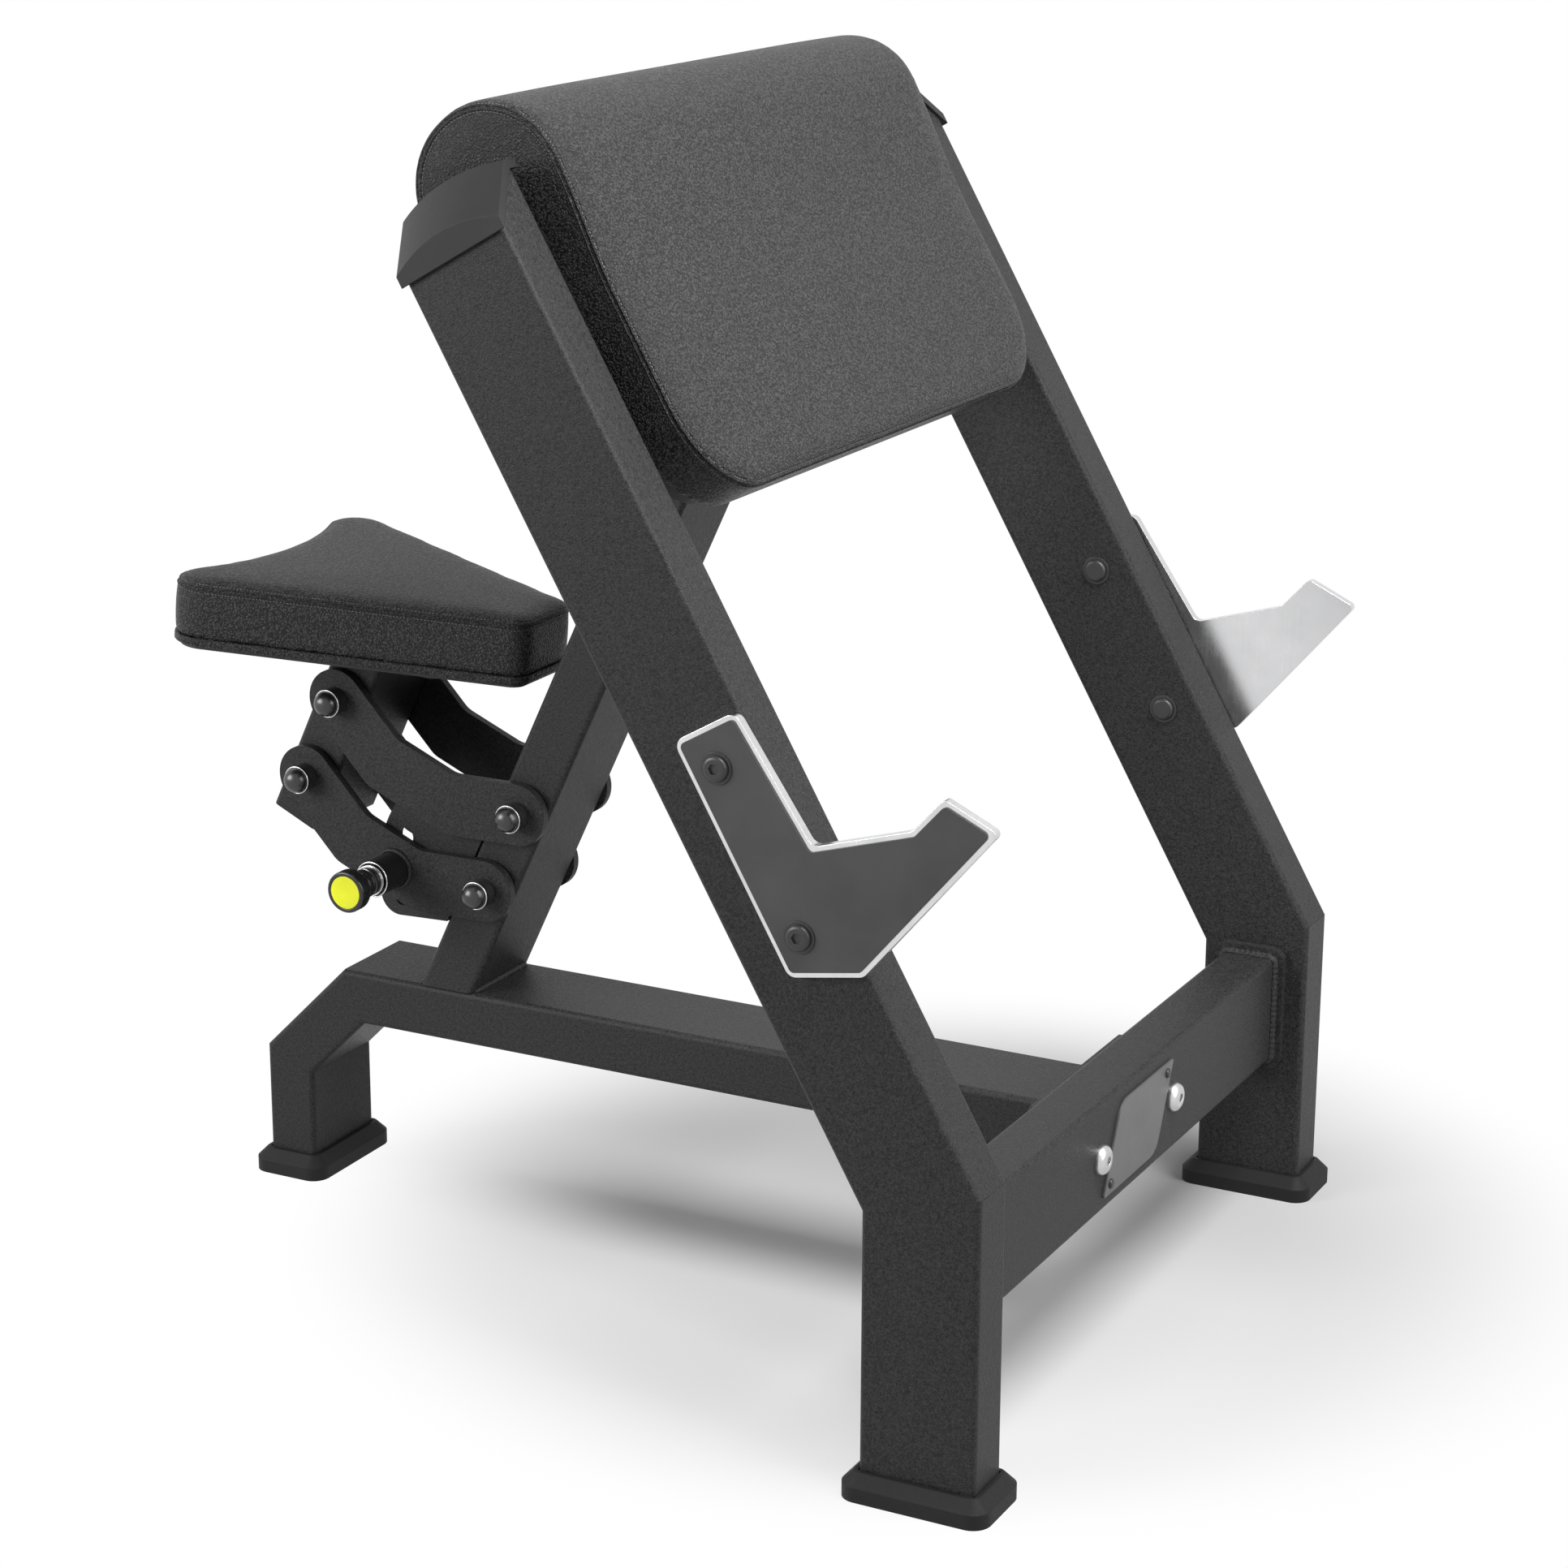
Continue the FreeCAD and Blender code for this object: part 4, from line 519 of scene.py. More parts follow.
class ArmPadShape(LeaningShape):
    """The arm pad on its slant: v counts ahead, square to the uprights' front, u up along them."""

    def __init__(self, sizes):
        super().__init__(sizes, sizes.bend_x, sizes.bend_z, sizes.lean)

    def half_width(self, u):
        """Half the pad's width at a height: straight, and round at the lower corners."""
        s = self.sizes
        below = np.clip(s.pad_corner - (u - s.pad_bottom), 0, s.pad_corner)
        return s.pad_half - s.pad_corner + np.sqrt(s.pad_corner ** 2 - below ** 2)

    def inside(self, y, u):
        """Distance from the face's seamed edge: a rectangle with rounded lower corners."""
        s = self.sizes
        from_side = s.pad_half - np.abs(y)
        from_bottom = u - s.pad_bottom
        corner = s.pad_corner - np.hypot(s.pad_corner - from_side, s.pad_corner - from_bottom)
        straight = np.minimum(from_side, from_bottom)
        in_corner = (from_side < s.pad_corner) & (from_bottom < s.pad_corner)
        return np.maximum(np.where(in_corner, corner, straight), 0)

    def face_v(self, u):
        """How far the face stands in front of the uprights: level below, eased out to the roll."""
        s = self.sizes
        share = (u - s.roll_start) / (s.roll_centre - s.roll_start)
        return s.pad_face + (s.pad_front - s.pad_face) * smooth_step(share)

    def heights(self):
        """Heights shared by the face and the back below the roll: close together round the corners."""
        s = self.sizes
        turn = np.linspace(0, np.pi / 2, 26)
        corner = s.pad_bottom + s.pad_corner * (1 - np.cos(turn))
        return np.concatenate([corner, np.linspace(corner[-1], s.roll_centre - s.roll_radius, 24)[1:]])

    def cover(self):
        """The cover's section, from the lower edge up the face and round the roll.

        It gives v, u and the two parts of the outward normal.
        """
        s = self.sizes
        low = self.heights()
        u = np.concatenate([low, np.linspace(low[-1], s.roll_centre, 14)[1:]])
        turn = np.linspace(0, 1.5 * np.pi, 64)[1:]
        axis_v = s.pad_front - s.roll_radius
        v = np.concatenate([self.face_v(u), axis_v + s.roll_radius * np.cos(turn)])
        u = np.concatenate([u, s.roll_centre + s.roll_radius * np.sin(turn)])
        line = unit(np.stack([np.gradient(v), np.gradient(u)], axis=1))
        return v, u, line[:, 1], -line[:, 0]

    def surface(self):
        """The closed pad: the cover's section and the back carried across, turned down at the seams.

        Each end is a strip between face and back below the roll, and one flat face at the roll.
        """
        s = self.sizes
        v, u, nv, nu = self.cover()
        back_u = self.heights()[::-1]
        low = len(back_u)
        front = len(v)
        nv = np.concatenate([nv, np.zeros(low)])
        nu = np.concatenate([nu, np.zeros(low)])
        v = np.concatenate([v, np.full(low, s.pad_back)])
        u = np.concatenate([u, back_u])
        edge = np.linspace(0, s.edge_run, 12)
        in_from_end = np.concatenate([edge, np.linspace(s.edge_run, s.pad_half, 40)[1:]])
        share = 1 - in_from_end / s.pad_half
        across = np.concatenate([-share, share[-2::-1]])
        y = self.half_width(u)[:, None] * across[None, :]
        drop = turned_down(self.inside(y, u[:, None]), s)
        points = self.world(v[:, None] - nv[:, None] * drop, y, u[:, None] - nu[:, None] * drop)
        rows, columns = y.shape
        faces = grid_faces(rows, columns, wrap_rows=True)[:, ::-1].tolist()
        step = np.arange(low - 1)
        strip = np.stack([step, step + 1, rows - 2 - step, rows - 1 - step], axis=1) * columns
        roll = np.arange(low - 1, front + 1) * columns
        faces += strip[:, ::-1].tolist() + [roll[::-1].tolist()]
        faces += (strip + columns - 1).tolist() + [(roll + columns - 1).tolist()]
        return points, faces

    def seam(self):
        """The seam from one roll end down the side, along the lower edge and up to the other roll end."""
        s = self.sizes
        v, u, nv, nu = self.cover()
        keep = np.arange(len(v)) >= np.argmax(u > s.pad_bottom + s.pad_corner)
        keep[-5:] = False
        v, u, nv, nu = (values[keep][::-1] for values in (v, u, nv, nu))
        drop = s.edge_drop + s.crown_drop
        turn = np.linspace(0, np.pi / 2, 24)
        corner_u = s.pad_bottom + s.pad_corner * (1 - np.sin(turn))
        corner_y = -(s.pad_half - s.pad_corner + s.pad_corner * np.cos(turn))
        level = np.linspace(-(s.pad_half - s.pad_corner), 0, 60)[1:]
        flat = len(turn) + len(level)
        side_v = np.concatenate([v - nv * drop, np.full(flat, s.pad_face - drop)])
        side_u = np.concatenate([u - nu * drop, corner_u, np.full(len(level), s.pad_bottom)])
        side_y = np.concatenate([np.full(len(v), -s.pad_half), corner_y, level])
        path = self.world(side_v, side_y, side_u)
        face_out = (np.concatenate([nv, np.ones(flat)])[:, None] * self.ahead
                    + np.concatenate([nu, np.zeros(flat)])[:, None] * self.up)
        tilt = np.concatenate([np.zeros(len(v)), turn, np.full(len(level), np.pi / 2)])
        side_out = -np.cos(tilt)[:, None] * self.side - np.sin(tilt)[:, None] * self.up
        joined = np.concatenate([path, face_out, side_out], axis=1)
        flip = np.array([1, -1, 1] * 3)
        joined = resample(np.vstack([joined, joined[-2::-1] * flip]), SEAM_STEP)
        return joined[:, :3], unit(joined[:, 3:6]), unit(joined[:, 6:])


class SeatShape(LeaningShape):
    """The wedge seat in its own frame, pitched nose down."""

    def __init__(self, sizes):
        super().__init__(sizes, sizes.seat_x, sizes.seat_z, -sizes.seat_pitch)

    def outline(self):
        """The seat from above: front edge, tapered sides, round corners and a hollowed rear edge."""
        s = self.sizes
        front, rear = s.seat_front, -s.seat_rear
        slope = (s.seat_rear_half - s.seat_front_half) / (front - rear)
        stretch = math.hypot(1, slope)
        tilt = math.atan2(1, slope)
        nose_x = front - s.seat_front_corner
        nose_y = s.seat_rear_half - slope * (nose_x - rear) - s.seat_front_corner * stretch
        heel_x = rear + s.seat_rear_corner
        heel_y = s.seat_rear_half - slope * (heel_x - rear) - s.seat_rear_corner * stretch
        bow = (heel_y ** 2 + s.seat_hollow ** 2) / (2 * s.seat_hollow) - s.seat_rear_corner
        bow_x = rear + s.seat_hollow - bow
        meet = math.atan2(-heel_y, bow_x - heel_x) % (2 * math.pi)
        first = np.linspace(0, tilt, 14)
        second = np.linspace(tilt, meet, 26)
        third = np.linspace(math.atan2(heel_y, heel_x - bow_x), 0, 40)
        x = np.concatenate([[front], nose_x + s.seat_front_corner * np.cos(first),
                            heel_x + s.seat_rear_corner * np.cos(second), bow_x + bow * np.cos(third)])
        y = np.concatenate([[0], nose_y + s.seat_front_corner * np.sin(first),
                            heel_y + s.seat_rear_corner * np.sin(second), bow * np.sin(third)])
        x = np.concatenate([x, x[-2:0:-1]])
        y = np.concatenate([y, -y[-2:0:-1]])
        even = resample(np.stack([x, y, 0 * x], axis=1), SEAT_STEP, closed=True)
        line = headings(even, closed=True)
        outward = np.stack([line[:, 1], -line[:, 0], 0 * line[:, 0]], axis=1)
        return even, outward

    def surface(self):
        """The closed cushion: rings of the outline drawn in and raised from the underside over the top."""
        s = self.sizes
        even, outward = self.outline()
        centre = np.array([0.02, 0, 0])
        rim = 0.014
        fall_run = 0.1
        bulge = 0.0012
        height = s.seat_seam - s.seat_low
        under_inset, under_rise = np.array(SEAT_UNDER_EDGE).T
        side = np.linspace(0.004, height - 0.0005, 10)
        top_in = np.linspace(0, rim, 10)
        inset = np.concatenate([under_inset, -bulge * np.sin(np.pi * side / height), top_in])
        most = s.edge_drop + s.crown_drop
        crown = s.seat_seam + most
        rise = np.concatenate([under_rise, side, crown - s.seat_low - turned_down(top_in, s)])
        rings = even[None] - inset[:, None, None] * outward[None]
        level = np.broadcast_to((s.seat_low + rise)[:, None], rings.shape[:2])
        pull = np.linspace(0, 1, 14)[1:]
        inner = rings[-1][None] + (centre - rings[-1])[None] * pull[:, None, None]
        inner_level = (crown - turned_down(rim + pull * fall_run, s)
                       + (s.seat_crown - most) * (1 - (1 - pull) ** 2))
        below = rings[0][None] + (centre - rings[0])[None] * pull[::-1, None, None]
        points = np.concatenate([below, rings, inner])
        levels = np.concatenate([np.full(below.shape[:2], s.seat_low), level,
                                 np.broadcast_to(inner_level[:, None], inner.shape[:2])])
        rows, columns = levels.shape
        return (self.world(points[..., 0], points[..., 1], levels),
                grid_faces(rows, columns, wrap_columns=True)[:, ::-1])

    def hem(self):
        """The cover's hem, pulled down over the board's edge: a closed section carried round the outline."""
        even, outward = self.outline()
        inset, level = np.array(SEAT_HEM).T
        rings = even[None] - inset[:, None, None] * outward[None]
        levels = np.broadcast_to(level[:, None], rings.shape[:2])
        return (self.world(rings[..., 0], rings[..., 1], levels),
                grid_faces(len(inset), len(even), wrap_rows=True, wrap_columns=True))

    def seam(self):
        """The closed seam round the seat's top edge."""
        even, outward = self.outline()
        path = self.world(even[:, 0], even[:, 1], np.full(len(even), self.sizes.seat_seam))
        side_out = outward[:, :1] * self.ahead + outward[:, 1:2] * self.side
        return path, np.broadcast_to(self.up, path.shape), side_out


# Welds


def weld_bead(path, first, second, sizes, closed):
    """A rippled fillet weld carried along a path in the corner of two faces.

    first and second point away from the corner in each face. A point of the section is
    path + leg * ((1 - a) * first + a * second), bowed out by a sine, and the leg ripples along the path.
    The section closes at the corner itself, and a path with two ends has a lid on each.
    """
    ripple = 0.09
    bow = 0.22
    along = np.arange(len(path)) * np.linalg.norm(path[1] - path[0])
    leg = sizes.weld_leg * (1 + ripple * np.sin(2 * np.pi * along / sizes.weld_pitch))
    if not closed:
        rest = np.minimum(along, along[-1] - along)
        leg = leg * np.sqrt(np.clip(rest / sizes.weld_leg, 0.02, 1))
    share = np.linspace(0, 1, 9)
    section = ((1 - share)[None, :, None] * first[:, None, :] + share[None, :, None] * second[:, None, :]
               + bow * np.sin(np.pi * share)[None, :, None] * unit(first + second)[:, None, :])
    section = np.concatenate([section, np.zeros((len(path), 1, 3))], axis=1)
    columns = section.shape[1]
    points = path[:, None, :] + leg[:, None, None] * section
    faces = grid_faces(len(path), columns, wrap_rows=closed, wrap_columns=True)
    if not closed:
        lid = np.array([[0, 1, 2, 3], [0, 3, 4, 5], [0, 5, 6, 7], [0, 7, 8, 9]])
        faces = np.vstack([faces, lid, lid[:, ::-1] + columns * (len(path) - 1)])
    facing = np.sum(np.cross(headings(path, closed), second - first) * (first + second))
    return points.reshape(-1, 3), faces if facing > 0 else faces[:, ::-1]


def tube_ring(centre, wide, deep, sizes):
    """An evenly spaced path round a tube's rounded rectangle, with its outward directions."""
    corner = sizes.tube_corner
    turn = np.linspace(0, 2 * np.pi, 64, endpoint=False)
    x = (sizes.tube_half_thin - corner) * np.sign(np.cos(turn)) + corner * np.cos(turn)
    y = (sizes.tube_half_deep - corner) * np.sign(np.sin(turn)) + corner * np.sin(turn)
    even = resample(np.stack([x, y], axis=1), WELD_STEP, closed=True)
    line = headings(even, closed=True)
    path = centre + even[:, :1] * wide + even[:, 1:] * deep
    return path, line[:, 1:] * wide - line[:, :1] * deep


# Finishes


def feed(tree, node, inputs):
    """Sets a node's inputs: each to a value, or joined to another node's output."""
    for name, value in inputs.items():
        if isinstance(value, bpy.types.NodeSocket):
            tree.links.new(value, node.inputs[name])
        else:
            node.inputs[name].default_value = value


def add_node(tree, kind, inputs, **settings):
    """A new shader node with its settings and inputs."""
    node = tree.nodes.new("ShaderNode" + kind)
    for name, value in settings.items():
        setattr(node, name, value)
    feed(tree, node, inputs)
    return node


class Finish:
    """A node material: a principled surface with grain taken from object coordinates."""

    def __init__(self, name, tint, roughness, metallic=0.0, gloss=0.5):
        self.tint = tuple(tint)
        material = bpy.data.materials.new(name)
        material.use_nodes = True
        material.diffuse_color = (*self.tint, 1)
        self.tree = material.node_tree
        self.shader = self.tree.nodes["Principled BSDF"]
        self.wear({"Metallic": metallic, "Roughness": roughness, "Specular IOR Level": gloss,
                   "Base Color": (*self.tint, 1)})
        self.place = self.add("TexCoord", {}, "Object")

    def wear(self, inputs):
        """Sets inputs of the surface itself."""
        feed(self.tree, self.shader, inputs)

    def add(self, kind, inputs, output, **settings):
        """An output of a new node."""
        return add_node(self.tree, kind, inputs, **settings).outputs[output]

    def noise(self, scale, detail=2.0, rough=0.5, place=None, output="Fac"):
        """Noise of a scale per metre."""
        return self.add("TexNoise", {"Scale": scale, "Detail": detail, "Roughness": rough,
                                     "Vector": place or self.place}, output)

    def stretched(self, x, y, z, turn=(0.0, 0.0, 0.0)):
        """Object coordinates scaled along each axis."""
        return self.add("Mapping", {"Scale": (x, y, z), "Rotation": turn, "Vector": self.place}, "Vector")

    def spread(self, value, low, high, start=0.3, end=0.7):
        """A value stretched from a start and end to a low and high."""
        return self.add("MapRange", {"From Min": start, "From Max": end, "To Min": low, "To Max": high,
                                     "Value": value}, "Result")

    def sum(self, first, second, share):
        """first plus a share of second."""
        return self.add("Math", {0: second, 1: share, 2: first}, 0, operation="MULTIPLY_ADD")

    def mottle(self, value, dark, light, start=0.3, end=0.7):
        """Colours the surface between a darker and a lighter share of its tint."""
        node = add_node(self.tree, "ValToRGB", {"Fac": value})
        for element, place, share in zip(node.color_ramp.elements, (start, end), (dark, light)):
            element.position = place
            element.color = (*(min(part * share, 1) for part in self.tint), 1)
        self.wear({"Base Color": node.outputs["Color"]})

    def darken(self, attribute, share):
        """Paints shade: darkens the colour towards near black by a share of a mesh attribute."""
        source = self.shader.inputs["Base Color"].links[0].from_socket
        crease = self.add("Attribute", {}, "Fac", attribute_name=attribute)
        factor = self.spread(crease, 0.0, share, 0.0, 1.0)
        self.wear({"Base Color": self.add("Mix", {"Factor": factor, "A": source, "B": PAINTED_SHADE_BLACK}, "Result",
                                          data_type="RGBA")})

    def roughen(self, value, low, high, start=0.3, end=0.7):
        """Varies the roughness."""
        self.wear({"Roughness": self.spread(value, low, high, start, end)})

    def bump(self, value, depth, strength=1.0, edge=0.0):
        """Raises the surface by a depth in metres, over edges that are softened to a radius."""
        inputs = {"Strength": strength, "Distance": depth, "Height": value}
        if edge:
            inputs["Normal"] = self.add("Bevel", {"Radius": edge}, "Normal", samples=4)
        self.wear({"Normal": self.add("Bump", inputs, "Normal")})


def powder_coat(name, tint):
    """Fine-textured powder coat: a tight orange peel with a mottled sheen."""
    finish = Finish(name, tint, 0.5, gloss=0.15)
    fine = finish.noise(760, 2.0, 0.6)
    broad = finish.noise(300, 3.0, 0.55)
    peel = finish.sum(fine, broad, 0.5)
    finish.mottle(peel, 0.3, 1.9, 0.5, 1.0)
    finish.roughen(broad, 0.38, 0.54)
    finish.bump(peel, 0.0006, 0.8, 0.0012)


def upholstery(name, tint, seam_shaded=False):
    """Pebble-grain cover: small raised cells with creases between them and a soft waviness.

    With the flag set, the cover also gets painted shade: it is darkened towards near black by the attribute
    that its mesh carries in the seam's groove and furrows.
    """
    finish = Finish(name, tint, 0.4, gloss=0.18)
    wobble = finish.noise(420, output="Color")
    bent = finish.add("VectorMath", {0: wobble, 1: (0.0022, 0.0022, 0.0022), 2: finish.place}, "Vector",
                      operation="MULTIPLY_ADD")
    pebble = finish.add("TexVoronoi", {"Scale": 520, "Vector": bent}, "Distance", feature="F1")
    fold = finish.noise(300, 3.0, 0.6)
    wave = finish.noise(38, 2.0)
    grain = finish.sum(pebble, fold, 0.75)
    flat, deep = 0.45, 1.05
    # Painted shade, together with the cover's own uneven tone: the colour is darker in the creases between
    # the cells and lighter on their tops, following the same grain that sets the bump.
    finish.mottle(grain, 1.5, 0.3, flat, deep)
    finish.roughen(grain, 0.3, 0.46, flat, deep)
    finish.bump(finish.sum(finish.spread(grain, 1.0, 0.0, flat, deep), wave, 0.6), 0.0009, 1.0)
    if seam_shaded:
        # Painted shade in the seam's groove and furrows.
        finish.darken("crease", 0.95)


def moulded(name, tint, roughness, grain, depth, gloss=0.5):
    """Moulded plastic or rubber with a faint spark-eroded grain."""
    finish = Finish(name, tint, roughness, gloss=gloss)
    fine = finish.noise(grain, 3.0, 0.6)
    broad = finish.noise(24, 3.0)
    finish.mottle(broad, 0.88, 1.14)
    finish.roughen(fine, roughness - 0.05, roughness + 0.08)
    finish.bump(fine, depth, 0.6, 0.001)


def steel(name, tint, roughness, streak=(9.0, 900.0, 9.0), turn=(0.0, 0.0, 0.0), depth=0.00002):
    """Bare metal with fine brush marks along one direction and a few cloudy patches."""
    finish = Finish(name, tint, roughness, 1.0)
    brush = finish.noise(1.0, 4.0, 0.65, finish.stretched(*streak, turn))
    cloud = finish.noise(30, 4.0, 0.6)
    finish.mottle(finish.sum(cloud, brush, 0.4), 0.9, 1.08, 0.4, 0.95)
    finish.roughen(finish.sum(cloud, brush, 0.6), roughness - 0.05, roughness + 0.1, 0.4, 1.1)
    finish.bump(brush, depth, 0.5, 0.0008)


def fibrous(name, tint, roughness, grain, dark, light, depth):
    """Thread or wood: one noise drawn out along the fibres, in the colour and in the height.

    grain gives the noise's detail, its roughness and its scale along each axis.
    """
    finish = Finish(name, tint, roughness)
    detail, rough, scale = grain
    fibres = finish.noise(1.0, detail, rough, finish.stretched(*scale))
    finish.mottle(fibres, dark, light)
    finish.bump(fibres, depth, 0.6)


def make_finishes(tints, lean):
    """Every finish of the bench."""
    even = (200.0, 200.0, 200.0)
    powder_coat("powder_coat", tints.coat)
    upholstery("pebble_cover", tints.upholstery)
    # The seam's cover, with painted shade in its groove and furrows.
    upholstery("seam_cover", tints.upholstery, seam_shaded=True)
    fibrous("thread", tints.thread, 0.5, (2.0, 0.5, (2600, 2600, 900)), 0.7, 1.25, 0.0001)
    moulded("foot_rubber", tints.rubber, 0.6, 480, 0.0001, 0.2)
    moulded("satin_plastic", tints.plastic, 0.42, 700, 0.00008, 0.2)
    moulded("cap_gloss", tints.gloss, 0.2, 300, 0.00002)
    moulded("dome_satin", tints.dome, 0.28, 300, 0.00002, 0.7)
    moulded("knob_gloss", tints.gloss, 0.26, 300, 0.00003)
    moulded("knob_yellow", tints.yellow, 0.35, 300, 0.00002)
    moulded("liner", tints.liner, 0.52, 1500, 0.00003, 0.25)
    moulded("badge_satin", tints.badge, 0.4, 900, 0.00002)
    moulded("black_oxide", tints.oxide, 0.36, 600, 0.00003)
    steel("polished_steel", tints.steel, 0.2, (500.0, 30.0, 12.0), (0.0, lean, 0.0))
    steel("zinc", tints.zinc, 0.27, even)
    steel("ground_steel", tints.ground, 0.3)
    steel("bright_chrome", tints.chrome, 0.12, even, depth=0.000002)
    steel("bronze", tints.bronze, 0.42)
    fibrous("stained_ply", tints.ply, 0.62, (4.0, 0.6, (60, 12, 700)), 0.6, 1.7, 0.0002)


# Operators


class BENCH_OT_finishes(bpy.types.Operator):
    """Make the finishes and put them on the bench's rigid pieces"""

    bl_idname = "bench.finishes"
    bl_label = "Finishes"

    def execute(self, context):
        make_finishes(context.scene.bench_finishes, context.scene.bench_sizes.lean)
        for node, piece in frame["nodes"].items():
            piece.data.materials.clear()
            piece.data.materials.append(bpy.data.materials[NODE_FINISH.get(node, "powder_coat")])
        return {"FINISHED"}


class BENCH_OT_arm_pad(bpy.types.Operator):
    """Upholster the arm pad with its sewn seam"""

    bl_idname = "bench.arm_pad"
    bl_label = "Arm pad"

    def execute(self, context):
        sizes = context.scene.bench_sizes
        shape = ArmPadShape(sizes)
        points, faces = shape.surface()
        pad = new_piece("arm_pad_cushion", points, faces, None, "pebble_cover", "upholstery")

        def free(rest):
            """Holds the back flat on its board and leaves the face, sides and roll free."""
            v, u = shape.local(rest)
            behind = np.clip((v - sizes.pad_back - HELD_DEPTH) / PAD_FREE_DEPTH, 0, 1)
            return np.where(u > sizes.roll_centre - sizes.roll_radius - HELD_DEPTH, 1.0, behind)

        swell(pad, sizes, sizes.pad_swell, free)
        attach(pad, "frame")
        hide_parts("arm_pad")
        sewn_seam("arm_pad_seam", pad, *shape.seam(), sizes, "frame", False)
        return {"FINISHED"}


class BENCH_OT_seat(bpy.types.Operator):
    """Upholster the wedge seat with its sewn seam"""

    bl_idname = "bench.seat"
    bl_label = "Seat"

    def execute(self, context):
        sizes = context.scene.bench_sizes
        shape = SeatShape(sizes)
        points, faces = shape.surface()
        seat = new_piece("seat_pad", points, faces, None, "pebble_cover", "upholstery")

        def free(rest):
            """Holds the underside flat on its board."""
            height = shape.local(rest)[1]
            return np.clip((height - sizes.seat_low - HELD_DEPTH) / SEAT_FREE_DEPTH, 0, 1)

        swell(seat, sizes, sizes.seat_swell, free)
        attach(seat, "seat")
        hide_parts("seat_cushion")
        sewn_seam("seat_seam", seat, *shape.seam(), sizes, "seat", True)
        new_piece("seat_hem", *shape.hem(), "seat", "pebble_cover", "upholstery")
        return {"FINISHED"}


def pivot(joint):
    """Where a hinge's axis crosses the middle plane."""
    return np.array(JOINTS[joint]["pos_m"])


class BENCH_OT_welds(bpy.types.Operator):
    """Run the weld beads of the post and the crossbars"""

    bl_idname = "bench.welds"
    bl_label = "Welds"

    def execute(self, context):
        sizes = context.scene.bench_sizes
        beads = self.crossbar_beads(sizes) + self.post_beads(sizes)
        starts = np.cumsum([0] + [len(points) for points, faces in beads])
        points = np.vstack([points for points, faces in beads])
        faces = np.vstack([faces + start for (spots, faces), start in zip(beads, starts)])
        new_piece("weld_beads", points, faces, "frame", "powder_coat", "frame_coat")
        return {"FINISHED"}

    def crossbar_beads(self, sizes):
        """A bead round each end of the two crossbars."""
        shape = ArmPadShape(sizes)
        ends = ((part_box("front_crossbar"), np.array([1.0, 0, 0]), np.array([0, 0, 1.0])),
                (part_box("upper_crossbar"), shape.ahead, shape.up))
        beads = []
        for (low, high), wide, deep in ends:
            middle = (np.array(low) + np.array(high)) / 2
            for side in (-1, 1):
                centre = np.array([middle[0], side * high[1], middle[2]])
                path, out = tube_ring(centre, wide, deep, sizes)
                inward = np.broadcast_to(np.array([0, -side, 0.0]), path.shape)
                beads.append(weld_bead(path, out, inward, sizes, True))
        return beads

    def post_beads(self, sizes):
        """A bead along the front and the rear of the seat post's foot."""
        low, high = (np.array(corner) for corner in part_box("seat_post"))
        lower = pivot("seat_lift")
        lean = unit(pivot("upper_arm_swing") - lower)
        foot = lower - lean * ((lower[2] - low[2]) / lean[2])
        half = sizes.tube_half_thin / lean[2]
        y = np.arange(low[1] + sizes.weld_inset, high[1] - sizes.weld_inset, WELD_STEP)
        beads = []
        for ahead in (-1, 1):
            path = np.stack([np.full_like(y, foot[0] + ahead * half), y, np.full_like(y, low[2])], axis=1)
            floor = np.broadcast_to(np.array([ahead, 0.0, 0.0]), path.shape)
            beads.append(weld_bead(path, floor, np.broadcast_to(lean, path.shape), sizes, False))
        return beads


class BENCH_OT_pivots(bpy.types.Operator):
    """Put a bright ring round each domed pivot cap"""

    bl_idname = "bench.pivots"
    bl_label = "Pivot rings"

    def execute(self, context):
        sizes = context.scene.bench_sizes
        lower, upper, rear = map(pivot, ("seat_lift", "upper_arm_swing", "seat_levelling"))
        self.rings("front_cap_rings", np.stack([lower, upper]), sizes, "frame")
        self.rings("rear_cap_rings", np.stack([rear, rear + upper - lower]), sizes, "seat")
        return {"FINISHED"}

    def rings(self, name, pivots, sizes, body):
        """Round wire rings: a small circle turned about each pivot, on both sides of the linkage."""
        near = pivots - np.array([0, sizes.near_rim, 0])
        far = pivots + np.array([0, sizes.far_rim, 0])
        axes = np.repeat(np.array([[0, -1.0, 0], [0, 1.0, 0]]), len(pivots), axis=0)
        section = wire_section(sizes.cap_ring, 0, sizes.cap_wire)
        points, faces = lathe(section, np.vstack([near, far]), axes, closed=True)
        new_piece(name, points, faces, body, "zinc", "chrome")


